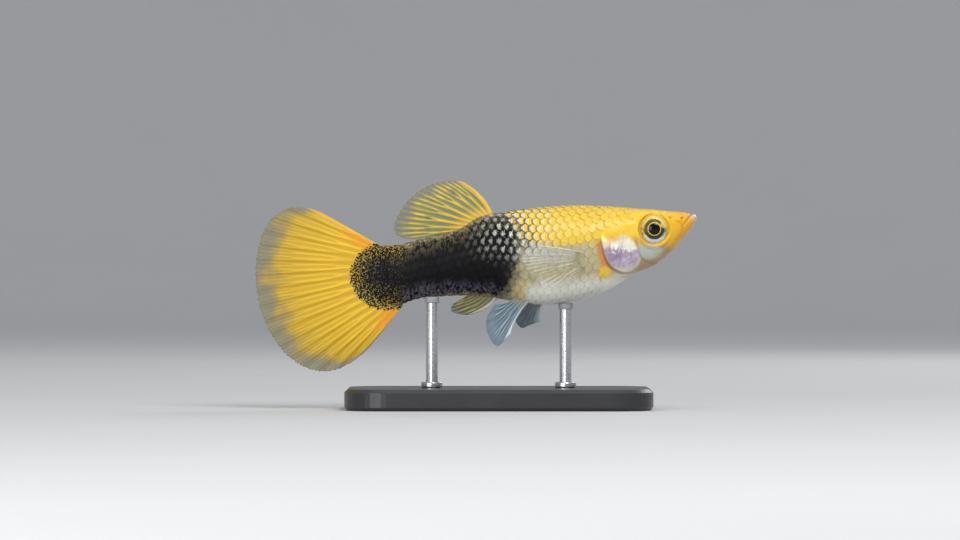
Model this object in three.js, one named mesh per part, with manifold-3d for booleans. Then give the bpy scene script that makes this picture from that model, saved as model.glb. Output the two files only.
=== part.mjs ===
// A life-size female fancy guppy on a plain display stand: yellow head, black hind body, fan-shaped yellow tail.
// Millimetres, +Z up. The snout points along +X, so the fish's right side faces -Y. The origin is on the floor,
// under the middle of the fish's length. The fish is drawn in a frame of its own, whose Z = 0 is the lowest tip
// of the tail fin, and is then lifted on its stand.
import * as THREE from "three";
import { mergeVertices } from "three/addons/utils/BufferGeometryUtils.js";
import Module from "manifold-3d";

const wasm = await Module();
wasm.setup();

const { lerp, smoothstep, degToRad } = THREE.MathUtils;

// Driving sizes
const TAIL_CLEARANCE = 4.2; // the lowest tip of the tail fin above the floor
const GAP = 0.3; // kept between pieces that touch

// The trunk, from the tail root to the snout. At each station `back` and `belly` are heights, `half` is half the
// width, `waist` is the share of the height at which the section is widest, and `crown` and `keel` are the
// fullness of its upper and lower half: 2 is an ellipse and more is squarer. `lean` tilts the section, so that
// the tail root ends along the slanted line from which the tail fin grows.
const STATIONS = [
  { x: -10.2, lean: 0.37, back: 14.98, belly: 7.95, half: 0.75, waist: 0.5, crown: 2.0, keel: 2.0 },
  { x: -8.5, lean: 0.2, back: 15.1, belly: 8.45, half: 1.15, waist: 0.5, crown: 2.0, keel: 2.0 },
  { x: -6.6, lean: 0.05, back: 15.76, belly: 8.81, half: 1.5, waist: 0.5, crown: 2.0, keel: 2.0 },
  { x: -4.2, lean: 0, back: 16.33, belly: 9.02, half: 1.85, waist: 0.52, crown: 2.0, keel: 2.0 },
  { x: -1.9, lean: 0, back: 17.07, belly: 9.12, half: 2.25, waist: 0.54, crown: 2.0, keel: 2.0 },
  { x: 1.0, lean: 0, back: 18.6, belly: 8.96, half: 2.8, waist: 0.54, crown: 2.0, keel: 2.0 },
  { x: 4.0, lean: 0, back: 19.07, belly: 8.55, half: 3.4, waist: 0.52, crown: 2.05, keel: 2.1 },
  { x: 8.0, lean: 0, back: 19.54, belly: 7.99, half: 4.0, waist: 0.5, crown: 2.1, keel: 2.2 },
  { x: 12.2, lean: 0, back: 19.77, belly: 8.61, half: 4.15, waist: 0.52, crown: 2.2, keel: 2.1 },
  { x: 14.9, lean: 0, back: 19.66, belly: 9.55, half: 3.95, waist: 0.56, crown: 2.4, keel: 2.0 },
  { x: 17.6, lean: 0, back: 19.48, belly: 11.02, half: 3.6, waist: 0.6, crown: 2.6, keel: 1.95 },
  { x: 19.3, lean: 0, back: 19.34, belly: 11.96, half: 3.35, waist: 0.63, crown: 2.8, keel: 1.9 },
  { x: 20.8, lean: 0, back: 19.23, belly: 12.55, half: 3.1, waist: 0.64, crown: 2.9, keel: 1.9 },
  { x: 22.8, lean: 0, back: 19.07, belly: 14.13, half: 2.65, waist: 0.62, crown: 2.9, keel: 1.95 },
  { x: 24.2, lean: 0, back: 18.97, belly: 15.66, half: 2.15, waist: 0.6, crown: 2.7, keel: 2.0 },
  { x: 25.0, lean: 0, back: 18.8, belly: 16.62, half: 1.8, waist: 0.6, crown: 2.5, keel: 2.0 },
  { x: 25.3, lean: 0, back: 18.66, belly: 17.05, half: 1.62, waist: 0.6, crown: 2.4, keel: 2.0 },
  { x: 25.6, lean: 0, back: 18.72, belly: 17.5, half: 1.35, waist: 0.6, crown: 2.2, keel: 2.0 },
  { x: 25.85, lean: 0, back: 18.56, belly: 17.9, half: 0.95, waist: 0.5, crown: 2.0, keel: 2.0 },
  { x: 26.0, lean: 0, back: 18.2, belly: 18.2, half: 0, waist: 0.5, crown: 2.0, keel: 2.0 },
];
const SNOUT = STATIONS.at(-1).x;
const TAIL_ROOT = STATIONS[0];

// Where thin upright cuts part the head, the torso and the tail
const GILL_CUT = 14.15;
const TAIL_CUT = -3.05;
const BODY_SIDES = 32;
const HEAD_SIDES = 36;

// The head's features, on both sides
const EYE = { x: 20.84, z: 16.93, radius: 1.7, depth: 1.25, bulge: 0.3 };
const GILL_COVER = { x: 16.95, z: 14.45, long: 2.85, short: 2.0, tilt: degToRad(139), rise: 0.28, sunk: 0.7 };
const MOUTH = { lip: { x: 25.27, z: 19.2 }, corner: { x: 24.2, z: 17.1 }, gape: 0.22 };
const NOSTRILS = [
  { x: 24.15, z: 18.25, radius: 0.2 },
  { x: 22.75, z: 18.3, radius: 0.16 },
];
const NOSTRIL_DEPTH = 0.35;

// Fins are webs with the rays raised in them. Thicknesses are halved, as they are measured from the middle of
// the web. A forked ray takes four columns of the fin's surface and a plain one two.
const WEB = { half: 0.26, edge: 0.12 };
const RAY_RISE = 0.15;
const FORKED_COLUMNS = 4;
const PLAIN_COLUMNS = 2;

// The tail fin fans out from a point inside the tail. Angles are measured up from -X.
const TAIL_FIN = {
  hub: { x: -6.1, z: 11.55 },
  middle: degToRad(-10.75),
  spread: degToRad(43.45),
  reach: 19.76,
  upperGrowth: 0.6,
  lowerGrowth: 1.65,
  edgeRay: 0.968,
  upperCorner: { power: 4, root: 5.9 },
  lowerCorner: { power: 3.4, root: 4.2 },
  rays: 16,
  rows: 11,
  fork: 0.5,
  notch: 0.22,
  wave: 0.75,
  fleshy: 0.6,
};

// The dorsal fin fans out from a point below its front end.
const DORSAL_FIN = {
  front: 2.1,
  rear: -1.9,
  hub: { x: 2.7, z: 18.25 },
  middle: degToRad(15.8),
  spread: degToRad(30.2),
  reach: 10.4,
  firstRay: 0.967,
  lastRay: -0.93,
  rays: 9,
  rows: 8,
  fork: 0.55,
  notch: 0.22,
  wave: 0.45,
  fleshy: 0.3,
};

// The small fins have their tip edges drawn as a curve through a few points, from the leading ray to the last.
const ANAL_FIN = {
  front: 2.7,
  rear: -0.6,
  tips: [
    [-0.3, 6.98],
    [-1.55, 6.92],
    [-2.9, 7.35],
    [-2.75, 8.05],
    [-1.8, 8.55],
  ],
  rays: 7,
  rows: 8,
  bow: -0.35,
};
const PELVIC_FINS = [
  {
    name: "pelvic_fin_right",
    side: -1,
    front: 6.4,
    rear: 4.4,
    out: 0.95,
    splay: 0.34,
    tips: [
      [4.1, 4.75],
      [2.45, 3.3],
      [1.35, 4.8],
      [1.25, 6.5],
      [2.2, 8.1],
    ],
  },
  {
    name: "pelvic_fin_left",
    side: 1,
    front: 8.1,
    rear: 6.0,
    out: 0.95,
    splay: 0.6,
    tips: [
      [7.55, 6.1],
      [6.4, 5.7],
      [5.35, 5.35],
      [4.6, 6.3],
      [4.4, 7.3],
    ],
  },
];
const PELVIC = { rays: 6, rows: 8, bow: 0.35 };
const PECTORAL_FIN = {
  x: 12.8,
  low: 12.45,
  high: 14.15,
  sunk: 0.15, // the middle of its root lies this far inside the flank, in a pocket
  splay: degToRad(14),
  tips: [
    [7.5, 15.0],
    [5.5, 14.35],
    [5.4, 12.9],
    [6.6, 11.2],
    [9.1, 10.1],
    [11.3, 10.9],
  ],
  rays: 10,
  rows: 8,
  bow: 0.1,
};

const BASE = { x: 2.65, length: 36, width: 22, height: 2.5, corner: 5, chamfer: 0.4 };
const ROD = { radius: 0.7, at: [10.5, -5.2], names: ["stand_rod_front", "stand_rod_rear"], sides: 20 };

// A smooth curve through the stations' values that never overshoots them.
function monotone(xs, ys) {
  const slopes = xs.slice(1).map((x, i) => (ys[i + 1] - ys[i]) / (x - xs[i]));
  const tangents = ys.map((_, i) => {
    if (i === 0) return slopes[0];
    if (i === ys.length - 1) return slopes.at(-1);
    const [before, after] = [slopes[i - 1], slopes[i]];
    return before * after <= 0 ? 0 : (2 * before * after) / (before + after);
  });
  return (x) => {
    let i = 0;
    while (i < xs.length - 2 && x > xs[i + 1]) i += 1;
    const width = xs[i + 1] - xs[i];
    const t = THREE.MathUtils.clamp((x - xs[i]) / width, 0, 1);
    const rest = 1 - t;
    return (
      ys[i] * (1 + 2 * t) * rest * rest +
      tangents[i] * width * t * rest * rest +
      ys[i + 1] * t * t * (3 - 2 * t) -
      tangents[i + 1] * width * t * t * rest
    );
  };
}

const trunk = Object.fromEntries(
  Object.keys(STATIONS[0])
    .filter((key) => key !== "x")
    .map((key) => [key, monotone(STATIONS.map((s) => s.x), STATIONS.map((s) => s[key]))]),
);

function widestHeight(x) {
  return lerp(trunk.belly(x), trunk.back(x), trunk.waist(x));
}

// Half the trunk's width at a height, and the height of its underside off the midline.
function flank(x, z) {
  const widest = widestHeight(x);
  const above = z > widest;
  const edge = above ? trunk.back(x) : trunk.belly(x);
  const fullness = above ? trunk.crown(x) : trunk.keel(x);
  const share = Math.min(1, Math.abs((z - widest) / (edge - widest)));
  return trunk.half(x) * (1 - share ** fullness) ** (1 / fullness);
}
function underside(x, y) {
  const keel = trunk.keel(x);
  const widest = widestHeight(x);
  const share = Math.min(1, Math.abs(y) / trunk.half(x));
  return widest - (widest - trunk.belly(x)) * (1 - share ** keel) ** (1 / keel);
}

function trunkRing(x, sides) {
  const widest = widestHeight(x);
  const middle = (trunk.back(x) + trunk.belly(x)) / 2;
  return Array.from({ length: sides }, (_, i) => {
    const angle = (2 * Math.PI * i) / sides;
    const upper = Math.sin(angle) > 0;
    const power = 2 / (upper ? trunk.crown(x) : trunk.keel(x));
    const reach = (upper ? trunk.back(x) : trunk.belly(x)) - widest;
    const y = trunk.half(x) * Math.sign(Math.cos(angle)) * Math.abs(Math.cos(angle)) ** power;
    const z = widest + reach * Math.abs(Math.sin(angle)) ** power;
    return new THREE.Vector3(x - trunk.lean(x) * (z - middle), y, z);
  });
}

// A closed skin over rings of points, from a point at the middle of the first ring to one at the middle of the
// last, or to `tip`.
function loft(rings, tip) {
  const sides = rings[0].length;
  const middleOf = (ring) => ring.reduce((sum, p) => sum.add(p), new THREE.Vector3()).divideScalar(sides);
  const points = [...rings.flat(), middleOf(rings[0]), tip ?? middleOf(rings.at(-1))];
  const first = points.length - 2;
  const last = points.length - 1;
  const faces = [];
  for (let i = 0; i < sides; i += 1) {
    const next = (i + 1) % sides;
    faces.push([first, next, i]);
    for (let r = 0; r < rings.length - 1; r += 1) {
      const [a, b] = [r * sides + i, r * sides + next];
      faces.push([a, b, a + sides], [b, b + sides, a + sides]);
    }
    faces.push([last, (rings.length - 1) * sides + i, (rings.length - 1) * sides + next]);
  }
  return closedGeometry(points, faces);
}

// A closed geometry from points and triangles, turned to face outwards.
function closedGeometry(points, faces) {
  const volume = faces.reduce((sum, [a, b, c]) => {
    return sum + points[a].dot(new THREE.Vector3().crossVectors(points[b], points[c]));
  }, 0);
  const geometry = new THREE.BufferGeometry();
  geometry.setAttribute("position", new THREE.Float32BufferAttribute(points.flatMap((p) => p.toArray()), 3));
  geometry.setIndex(faces.flatMap(([a, b, c]) => (volume > 0 ? [a, b, c] : [a, c, b])));
  return geometry;
}

// A thin closed shell: `place(u, v)` gives the middle of the web and `half(u, v)` half its thickness, which is
// laid off along `across`. Both faces are split into triangles alike.
function shell({ columns, rows, place, half, across }) {
  const points = [];
  for (const side of [1, -1]) {
    for (let j = 0; j <= rows; j += 1) {
      for (let i = 0; i <= columns; i += 1) {
        const [u, v] = [i / columns, j / rows];
        points.push(place(u, v).addScaledVector(across, side * half(u, v)));
      }
    }
  }
  const width = columns + 1;
  const layer = width * (rows + 1);
  const faces = [];
  for (let j = 0; j < rows; j += 1) {
    for (let i = 0; i < columns; i += 1) {
      const a = j * width + i;
      const front = [
        [a, a + 1, a + width],
        [a + 1, a + width + 1, a + width],
      ];
      faces.push(...front, ...front.map(([p, q, r]) => [p + layer, r + layer, q + layer]));
    }
  }
  const rim = (a, b) => faces.push([a, a + layer, b], [b, a + layer, b + layer]);
  for (let i = 0; i < columns; i += 1) {
    rim(i, i + 1);
    rim(rows * width + i + 1, rows * width + i);
  }
  for (let j = 0; j < rows; j += 1) {
    rim((j + 1) * width, j * width);
    rim(j * width + columns, (j + 1) * width + columns);
  }
  return closedGeometry(points, faces);
}

// How far a ray stands out at `phase`, where each whole number is the web between two rays: one crest near the
// root, and two past the fork.
function rayCrest(phase, v, fork) {
  const single = 0.5 - 0.5 * Math.cos(2 * Math.PI * phase);
  const double = 0.5 - 0.5 * Math.cos(4 * Math.PI * phase);
  return lerp(single, double, smoothstep(v, fork - 0.15, fork + 0.15));
}

// Half the thickness of a fin: a web that thins out at its edge, rays raised in it, and a fleshy root.
function finHalf({ rays, fork = 2, fleshy = 0.12 }) {
  return (u, v) => {
    const web = lerp(WEB.half, WEB.edge, smoothstep(v, 0.8, 1));
    const crest = RAY_RISE * (1 - 0.6 * v) * rayCrest(u * rays, v, fork);
    return web + crest + fleshy * (1 - smoothstep(v, 0, 0.25));
  };
}

function fin({ rays, rows, fork, fleshy }, place, across = new THREE.Vector3(0, 1, 0)) {
  const columns = rays * (fork ? FORKED_COLUMNS : PLAIN_COLUMNS);
  return shell({ columns, rows, place, half: finHalf({ rays, fork, fleshy }), across });
}

// The point at `distance` from a fin's hub in the direction `angle`, which is measured up from -X.
function fromHub(hub, angle, distance) {
  return new THREE.Vector3(hub.x - distance * Math.cos(angle), 0, hub.z + distance * Math.sin(angle));
}

function tailFin() {
  const f = TAIL_FIN;
  const middle = (TAIL_ROOT.back + TAIL_ROOT.belly) / 2;
  const step = GAP * Math.hypot(1, TAIL_ROOT.lean);
  const tip = (u) => {
    const w = lerp(f.edgeRay, -f.edgeRay, u);
    const corner = w > 0 ? f.upperCorner : f.lowerCorner;
    const growth = w > 0 ? f.upperGrowth : f.lowerGrowth;
    const rounded = (1 - Math.abs(w) ** corner.power) ** (1 / corner.root);
    const notch = f.notch * (1 - rayCrest(u * f.rays, 1, f.fork));
    return fromHub(f.hub, f.middle + f.spread * w, (f.reach + growth * w) * rounded - notch);
  };
  const place = (u, v) => {
    const z = lerp(TAIL_ROOT.back, TAIL_ROOT.belly, u);
    const root = new THREE.Vector3(TAIL_ROOT.x - TAIL_ROOT.lean * (z - middle) - step, 0, z);
    const point = root.lerp(tip(u), v);
    point.y = f.wave * v * v * Math.sin(2 * Math.PI * (0.9 * u + 0.1));
    return point;
  };
  return fin(f, place);
}

function dorsalFin() {
  const f = DORSAL_FIN;
  const tip = (u) => {
    const w = lerp(f.firstRay, f.lastRay, u);
    const reach = f.reach - 3.88 * w - 0.7 * w * w;
    const rounded = w < 0 ? (1 - w ** 6) ** 0.25 : 1;
    const notch = f.notch * (1 - rayCrest(u * f.rays, 1, f.fork));
    return fromHub(f.hub, f.middle + f.spread * w, reach * rounded - notch);
  };
  const place = (u, v) => {
    const x = lerp(f.front, f.rear, u);
    const point = new THREE.Vector3(x, 0, trunk.back(x) + GAP).lerp(tip(u), v);
    point.y = f.wave * v * v * Math.sin(2 * Math.PI * (0.7 * u + 0.1));
    return point;
  };
  return fin(f, place);
}

// A curve through a fin's tips, in the plane of the fish's side.
function tipCurve(tips) {
  return new THREE.CatmullRomCurve3(tips.map(([x, z]) => new THREE.Vector3(x, 0, z)));
}

// A point on a ray from root to tip that bows by `bow` at its middle.
function alongRay(root, tip, v, bow) {
  const across = new THREE.Vector3(tip.z - root.z, 0, root.x - tip.x).normalize();
  return root.clone().lerp(tip, v).addScaledVector(across, bow * 4 * v * (1 - v));
}

function analFin() {
  const f = ANAL_FIN;
  const edge = tipCurve(f.tips);
  const place = (u, v) => {
    const x = lerp(f.front, f.rear, u);
    const root = new THREE.Vector3(x, 0, trunk.belly(x) - GAP);
    return alongRay(root, edge.getPoint(u), v, f.bow * (1 - u));
  };
  return fin(f, place);
}

function pelvicFin({ side, front, rear, out, splay, tips }) {
  const edge = tipCurve(tips);
  const place = (u, v) => {
    const x = lerp(front, rear, u);
    const root = new THREE.Vector3(x, 0, underside(x, out) - GAP);
    const point = alongRay(root, edge.getPoint(u), v, PELVIC.bow * (1 - 2 * u));
    point.z = Math.min(point.z, root.z);
    point.y = side * (out + splay * (root.z - point.z));
    return point;
  };
  return fin(PELVIC, place);
}

// The pectoral fin leaves a pocket in the flank and swings out and back. `place` also takes u and v a little
// outside 0 to 1, where the pocket's walls are.
function pectoralPlace(side) {
  const f = PECTORAL_FIN;
  const edge = tipCurve(f.tips);
  const rise = GAP + WEB.half + RAY_RISE + f.sunk;
  return (u, v) => {
    const root = new THREE.Vector3(f.x, 0, lerp(f.high, f.low, u));
    const point = alongRay(root, edge.getPoint(THREE.MathUtils.clamp(u, 0, 1)), v, f.bow);
    const out = flank(f.x, root.z) - f.sunk + rise * smoothstep(v, 0, 0.3);
    point.y = side * (out + Math.tan(f.splay) * (f.x - point.x));
    return point;
  };
}

function pectoralPocket(side) {
  const place = pectoralPlace(side);
  return shell({
    columns: 6,
    rows: 6,
    place: (u, v) => place(lerp(-0.18, 1.18, u), lerp(-0.1, 0.34, v)),
    half: () => WEB.half + RAY_RISE + GAP,
    across: new THREE.Vector3(0, 1, 0),
  });
}

function solid(geometry) {
  const bare = geometry.clone();
  bare.deleteAttribute("normal");
  bare.deleteAttribute("uv");
  const merged = mergeVertices(bare, 1e-4);
  const vertProperties = new Float32Array(merged.attributes.position.array);
  return new wasm.Manifold(
    new wasm.Mesh({ numProp: 3, vertProperties, triVerts: new Uint32Array(merged.index.array) }),
  );
}

// The largest closed surface of a solid, as a geometry.
function largest(manifold) {
  const pieces = manifold.decompose().sort((a, b) => b.volume() - a.volume());
  const mesh = pieces[0].getMesh();
  const geometry = new THREE.BufferGeometry();
  geometry.setAttribute("position", new THREE.BufferAttribute(mesh.vertProperties, 3));
  geometry.setIndex(new THREE.BufferAttribute(mesh.triVerts, 1));
  return geometry;
}

function eyeball(side, grow = 0) {
  const geometry = new THREE.SphereGeometry(1, 20, 12);
  geometry.scale(EYE.radius + grow, EYE.depth + grow, EYE.radius + grow);
  const out = flank(EYE.x, EYE.z) + EYE.bulge - EYE.depth;
  return geometry.translate(EYE.x, side * out, EYE.z);
}

// A plate over the side of the head, with its rim in steps from the middle out.
function gillCover(side) {
  const f = GILL_COVER;
  const [spokes, steps] = [26, 3];
  const rings = [];
  const at = (ring, spoke, inside) => {
    const angle = (2 * Math.PI * spoke) / spokes;
    const [along, over] = [f.long * Math.cos(angle) * ring, f.short * Math.sin(angle) * ring];
    const x = f.x + along * Math.cos(f.tilt) - over * Math.sin(f.tilt);
    const z = f.z + along * Math.sin(f.tilt) + over * Math.cos(f.tilt);
    const lift = inside ? -f.sunk : f.rise * (1 - 0.45 * ring ** 4);
    return new THREE.Vector3(x, side * (flank(x, z) + lift), z);
  };
  const ring = (share, inside) => Array.from({ length: spokes }, (_, i) => at(share, i, inside));
  for (let i = 1; i <= steps; i += 1) rings.push(ring(i / steps, false));
  for (let i = steps; i >= 1; i -= 1) rings.push(ring(i / steps, true));
  return loft(rings);
}

// The gape is a thin slab that slants up and forward from the corners of the mouth to the lips.
function gape() {
  const { lip, corner } = MOUTH;
  const slant = Math.atan2(lip.z - corner.z, lip.x - corner.x);
  const length = Math.hypot(lip.z - corner.z, lip.x - corner.x);
  const slab = new THREE.BoxGeometry(length, 2 * STATIONS[13].half, MOUTH.gape);
  slab.rotateY(-slant);
  return slab.translate((lip.x + corner.x) / 2, 0, (lip.z + corner.z) / 2);
}

function nostril({ x, z, radius }, side) {
  const pit = new THREE.CylinderGeometry(radius, radius * 0.6, 2 * NOSTRIL_DEPTH, 10);
  if (side < 0) pit.rotateX(Math.PI);
  return pit.translate(x, side * flank(x, z), z);
}

function head() {
  const rings = 27;
  const length = SNOUT - GILL_CUT - GAP / 2;
  const xs = Array.from({ length: rings }, (_, i) => SNOUT - length * (1 - i / rings) ** 1.5);
  const tip = new THREE.Vector3(SNOUT, 0, trunk.back(SNOUT));
  let made = solid(loft(xs.map((x) => trunkRing(x, HEAD_SIDES)), tip));
  made = made.subtract(solid(gape()));
  for (const side of [-1, 1]) {
    made = made.add(solid(gillCover(side))).subtract(solid(eyeball(side, GAP)));
    for (const one of NOSTRILS) made = made.subtract(solid(nostril(one, side)));
  }
  return largest(made);
}

// A length of the trunk between two stations, with rings evenly set.
function trunkLength(from, to, rings) {
  return loft(Array.from({ length: rings + 1 }, (_, i) => trunkRing(lerp(from, to, i / rings), BODY_SIDES)));
}

function torso() {
  const whole = solid(trunkLength(TAIL_CUT + GAP / 2, GILL_CUT - GAP / 2, 19));
  return largest([-1, 1].reduce((left, side) => left.subtract(solid(pectoralPocket(side))), whole));
}

function standBase() {
  const { length, width, height, corner, chamfer } = BASE;
  const [x, y] = [length / 2 - chamfer, width / 2 - chamfer];
  const r = corner - chamfer;
  const outline = new THREE.Shape();
  outline.absarc(x - r, y - r, r, 0, Math.PI / 2);
  outline.absarc(r - x, y - r, r, Math.PI / 2, Math.PI);
  outline.absarc(r - x, r - y, r, Math.PI, 1.5 * Math.PI);
  outline.absarc(x - r, r - y, r, 1.5 * Math.PI, 2 * Math.PI);
  const plate = new THREE.ExtrudeGeometry(outline, {
    depth: height - 2 * chamfer,
    bevelThickness: chamfer,
    bevelSize: chamfer,
    bevelSegments: 1,
    curveSegments: 6,
  });
  return largest(solid(plate.translate(0, 0, chamfer)));
}

// A rod from the base up to the fish's underside, in the frame of the floor.
function standRod(x) {
  const foot = BASE.height + GAP;
  const lowest = Math.min(trunk.belly(x - ROD.radius), trunk.belly(x + ROD.radius));
  const top = TAIL_CLEARANCE + lowest - GAP;
  const rod = new THREE.CylinderGeometry(ROD.radius, ROD.radius, top - foot, ROD.sides);
  return rod.rotateX(Math.PI / 2).translate(0, 0, (top + foot) / 2);
}

const COLOURS = {
  yellow_skin: { color: 0xe9ad26, roughness: 0.38 },
  belly_skin: { color: 0xcdbf8c, roughness: 0.35 },
  black_skin: { color: 0x17171b, roughness: 0.4 },
  yellow_fin: { color: 0xe2a51c, roughness: 0.5 },
  clear_fin: { color: 0x8fa0ac, roughness: 0.4 },
  eye: { color: 0x2a2a22, roughness: 0.1 },
  stand: { color: 0x1c1d20, roughness: 0.35 },
  rod: { color: 0xb5b7ba, roughness: 0.3, metalness: 1 },
};

function part(name, geometry, finish) {
  const mesh = new THREE.Mesh(geometry, new THREE.MeshStandardMaterial(COLOURS[finish]));
  mesh.name = name;
  return mesh;
}

const fish = new THREE.Group();
fish.position.z = TAIL_CLEARANCE;
fish.add(
  part("head", head(), "yellow_skin"),
  part("eye_right", eyeball(-1), "eye"),
  part("eye_left", eyeball(1), "eye"),
  part("torso", torso(), "belly_skin"),
  part("tail", trunkLength(TAIL_ROOT.x, TAIL_CUT - GAP / 2, 10), "black_skin"),
  part("tail_fin", tailFin(), "yellow_fin"),
  part("dorsal_fin", dorsalFin(), "yellow_fin"),
  part("anal_fin", analFin(), "clear_fin"),
  part("pectoral_fin_right", fin({ ...PECTORAL_FIN, fleshy: 0 }, pectoralPlace(-1)), "clear_fin"),
  part("pectoral_fin_left", fin({ ...PECTORAL_FIN, fleshy: 0 }, pectoralPlace(1)), "clear_fin"),
  ...PELVIC_FINS.map((f) => part(f.name, pelvicFin(f), "clear_fin")),
);

const stand = new THREE.Group();
const base = part("stand_base", standBase(), "stand");
base.position.x = BASE.x;
stand.add(base);
ROD.at.forEach((x, i) => {
  const rod = part(ROD.names[i], standRod(x), "rod");
  rod.position.x = x;
  stand.add(rod);
});

const guppy = new THREE.Group();
guppy.add(fish, stand);
export default guppy;
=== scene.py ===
"""A life-size museum model of a fancy guppy on a display stand, dressed in Blender over its solid parts.

Sizes are millimetres in the fish's own frame: X points to the snout, Z up from the lowest tip of the tail
fin, and Y to the fish's left. The fish stands TAIL_CLEARANCE above the floor.
"""

import logging
import math
from dataclasses import dataclass
from dataclasses import replace
from enum import Enum

import bmesh
import bpy
import numpy as np
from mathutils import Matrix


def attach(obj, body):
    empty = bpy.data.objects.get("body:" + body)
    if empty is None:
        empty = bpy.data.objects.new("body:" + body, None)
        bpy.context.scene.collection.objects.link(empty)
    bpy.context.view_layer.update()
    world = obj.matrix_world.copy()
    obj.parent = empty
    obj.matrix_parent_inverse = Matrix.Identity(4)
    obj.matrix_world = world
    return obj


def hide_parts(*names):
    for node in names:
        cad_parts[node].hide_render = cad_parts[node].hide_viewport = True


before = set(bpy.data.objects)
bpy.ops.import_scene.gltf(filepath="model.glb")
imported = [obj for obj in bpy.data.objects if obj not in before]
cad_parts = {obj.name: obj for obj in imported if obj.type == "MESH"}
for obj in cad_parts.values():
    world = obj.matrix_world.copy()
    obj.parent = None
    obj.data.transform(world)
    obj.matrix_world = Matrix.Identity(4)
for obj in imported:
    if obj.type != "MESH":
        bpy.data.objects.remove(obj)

log = logging.getLogger("guppy")

MM = 0.001
TAIL_CLEARANCE = 4.2
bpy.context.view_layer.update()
# A length that stands for none, so that nothing is divided by zero
TINY = 1e-9
Array = np.ndarray


class Slot(Enum):
    """The record's material slots; the fins and turned stand pieces hold one each, but nothing reads it."""

    YELLOW_SKIN = "yellow_skin"
    YELLOW_FIN = "yellow_fin"
    CLEAR_FIN = "clear_fin"
    EYE = "eye"
    STAND = "stand"
    ROD = "rod"


class Side(Enum):
    """A side of the fish, as the sign of its Y."""

    RIGHT = -1
    LEFT = 1

    @property
    def word(self) -> str:
        """The side's name in the names of nodes and pieces."""
        return self.name.lower()


# Numbers and curves


def smoothstep(value: Array, low: float, high: float) -> Array:
    """Rise smoothly from 0 at `low` to 1 at `high`.

    Args:
        value: The numbers to map.
        low: Where the step starts.
        high: Where the step ends; it may lie below `low`, and the step then falls.

    Returns:
        A number from 0 to 1 for each value.
    """
    share = np.clip((value - low) / (high - low), 0, 1)
    return share * share * (3 - 2 * share)


def bump(value: Array, width: float) -> Array:
    """A bell of height 1 round zero, about `width` wide to each side."""
    return np.exp(-((value / width) ** 2))


def mix(a: Array, b: Array, share: Array) -> Array:
    """Go from `a` to `b` by `share`."""
    return a + (b - a) * share


def monotone(xs: Array, ys: Array, at: Array) -> Array:
    """A smooth curve through points that never overshoots them.

    Args:
        xs: The points' places, rising.
        ys: The points' values.
        at: Where the curve is read.

    Returns:
        The curve's value at each place.
    """
    step = np.diff(xs)
    slope = np.diff(ys) / step
    before, after = slope[:-1], slope[1:]
    same = before * after > 0
    safe = np.where(same, before + after, 1.0)
    inner = np.where(same, 2 * before * after / safe, 0.0)
    tangent = np.concatenate([slope[:1], inner, slope[-1:]])
    at = np.clip(at, xs[0], xs[-1])
    i = np.clip(np.searchsorted(xs, at, side="right") - 1, 0, len(step) - 1)
    t = (at - xs[i]) / step[i]
    start = (1 + 2 * t) * (1 - t) ** 2 * ys[i] + t * (1 - t) ** 2 * step[i] * tangent[i]
    end = t * t * (3 - 2 * t) * ys[i + 1] + t * t * (t - 1) * step[i] * tangent[i + 1]
    return start + end


def catmull_rom(points: list[tuple[float, float]], share: Array, closed: bool = False) -> Array:
    """A centripetal curve through points, as the solid fins use for their tips.

    Args:
        points: The points in the plane of the fish's side.
        share: Where on the curve, from 0 to 1, each stretch between two points counting the same.
        closed: Whether the curve comes back to its first point.

    Returns:
        One point for each share.
    """
    known = np.array(points, float)
    count = len(known)
    if closed:
        padded = np.vstack([known[-1], known, known[0], known[1]])
        stretches = count
    else:
        padded = np.vstack([2 * known[0] - known[1], known, 2 * known[-1] - known[-2]])
        stretches = count - 1
    place = np.clip(share, 0, 1) * stretches
    i = np.minimum(place.astype(int), stretches - 1)
    t = (place - i)[:, None]
    p0, p1, p2, p3 = (padded[i + k] for k in range(4))
    pairs = ((p0, p1), (p1, p2), (p2, p3))
    gaps = [np.maximum(np.linalg.norm(b - a, axis=1)[:, None] ** 0.5, TINY) for a, b in pairs]
    m1 = ((p1 - p0) / gaps[0] - (p2 - p0) / (gaps[0] + gaps[1]) + (p2 - p1) / gaps[1]) * gaps[1]
    m2 = ((p2 - p1) / gaps[1] - (p3 - p1) / (gaps[1] + gaps[2]) + (p3 - p2) / gaps[2]) * gaps[1]
    t2, t3 = t * t, t * t * t
    return (2 * t3 - 3 * t2 + 1) * p1 + (t3 - 2 * t2 + t) * m1 + (3 * t2 - 2 * t3) * p2 + (t3 - t2) * m2


def distance_to(curve: Array, x: Array, z: Array) -> tuple[Array, Array]:
    """How far points are from a curve in side view.

    Args:
        curve: The curve's points, close together.
        x: The points' X.
        z: The points' Z.

    Returns:
        The distance, and the share of the curve's length at the nearest place.
    """
    best = np.full(x.shape, np.inf)
    share = np.zeros(x.shape)
    lengths = np.linalg.norm(np.diff(curve, axis=0), axis=1)
    run = np.concatenate([[0], np.cumsum(lengths)]) / lengths.sum()
    for (a, b), start, end in zip(zip(curve[:-1], curve[1:]), run[:-1], run[1:]):
        along = b - a
        t = np.clip(((x - a[0]) * along[0] + (z - a[1]) * along[1]) / (along @ along), 0, 1)
        far = np.hypot(x - a[0] - t * along[0], z - a[1] - t * along[1])
        nearer = far < best
        best = np.where(nearer, far, best)
        share = np.where(nearer, start + (end - start) * t, share)
    return best, share


# The body's form


@dataclass(frozen=True)
class Station:
    """One cross-section of the trunk."""

    x: float
    back: float
    belly: float
    half: float
    waist: float
    crown: float
    keel: float


@dataclass(frozen=True)
class TailTongue:
    """The scaled flesh that runs out over the root of the tail fin in a half round."""

    start: float = -10.2
    end: float = -14.6
    lean: float = 0.37
    edge_half: float = 0.24


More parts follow.
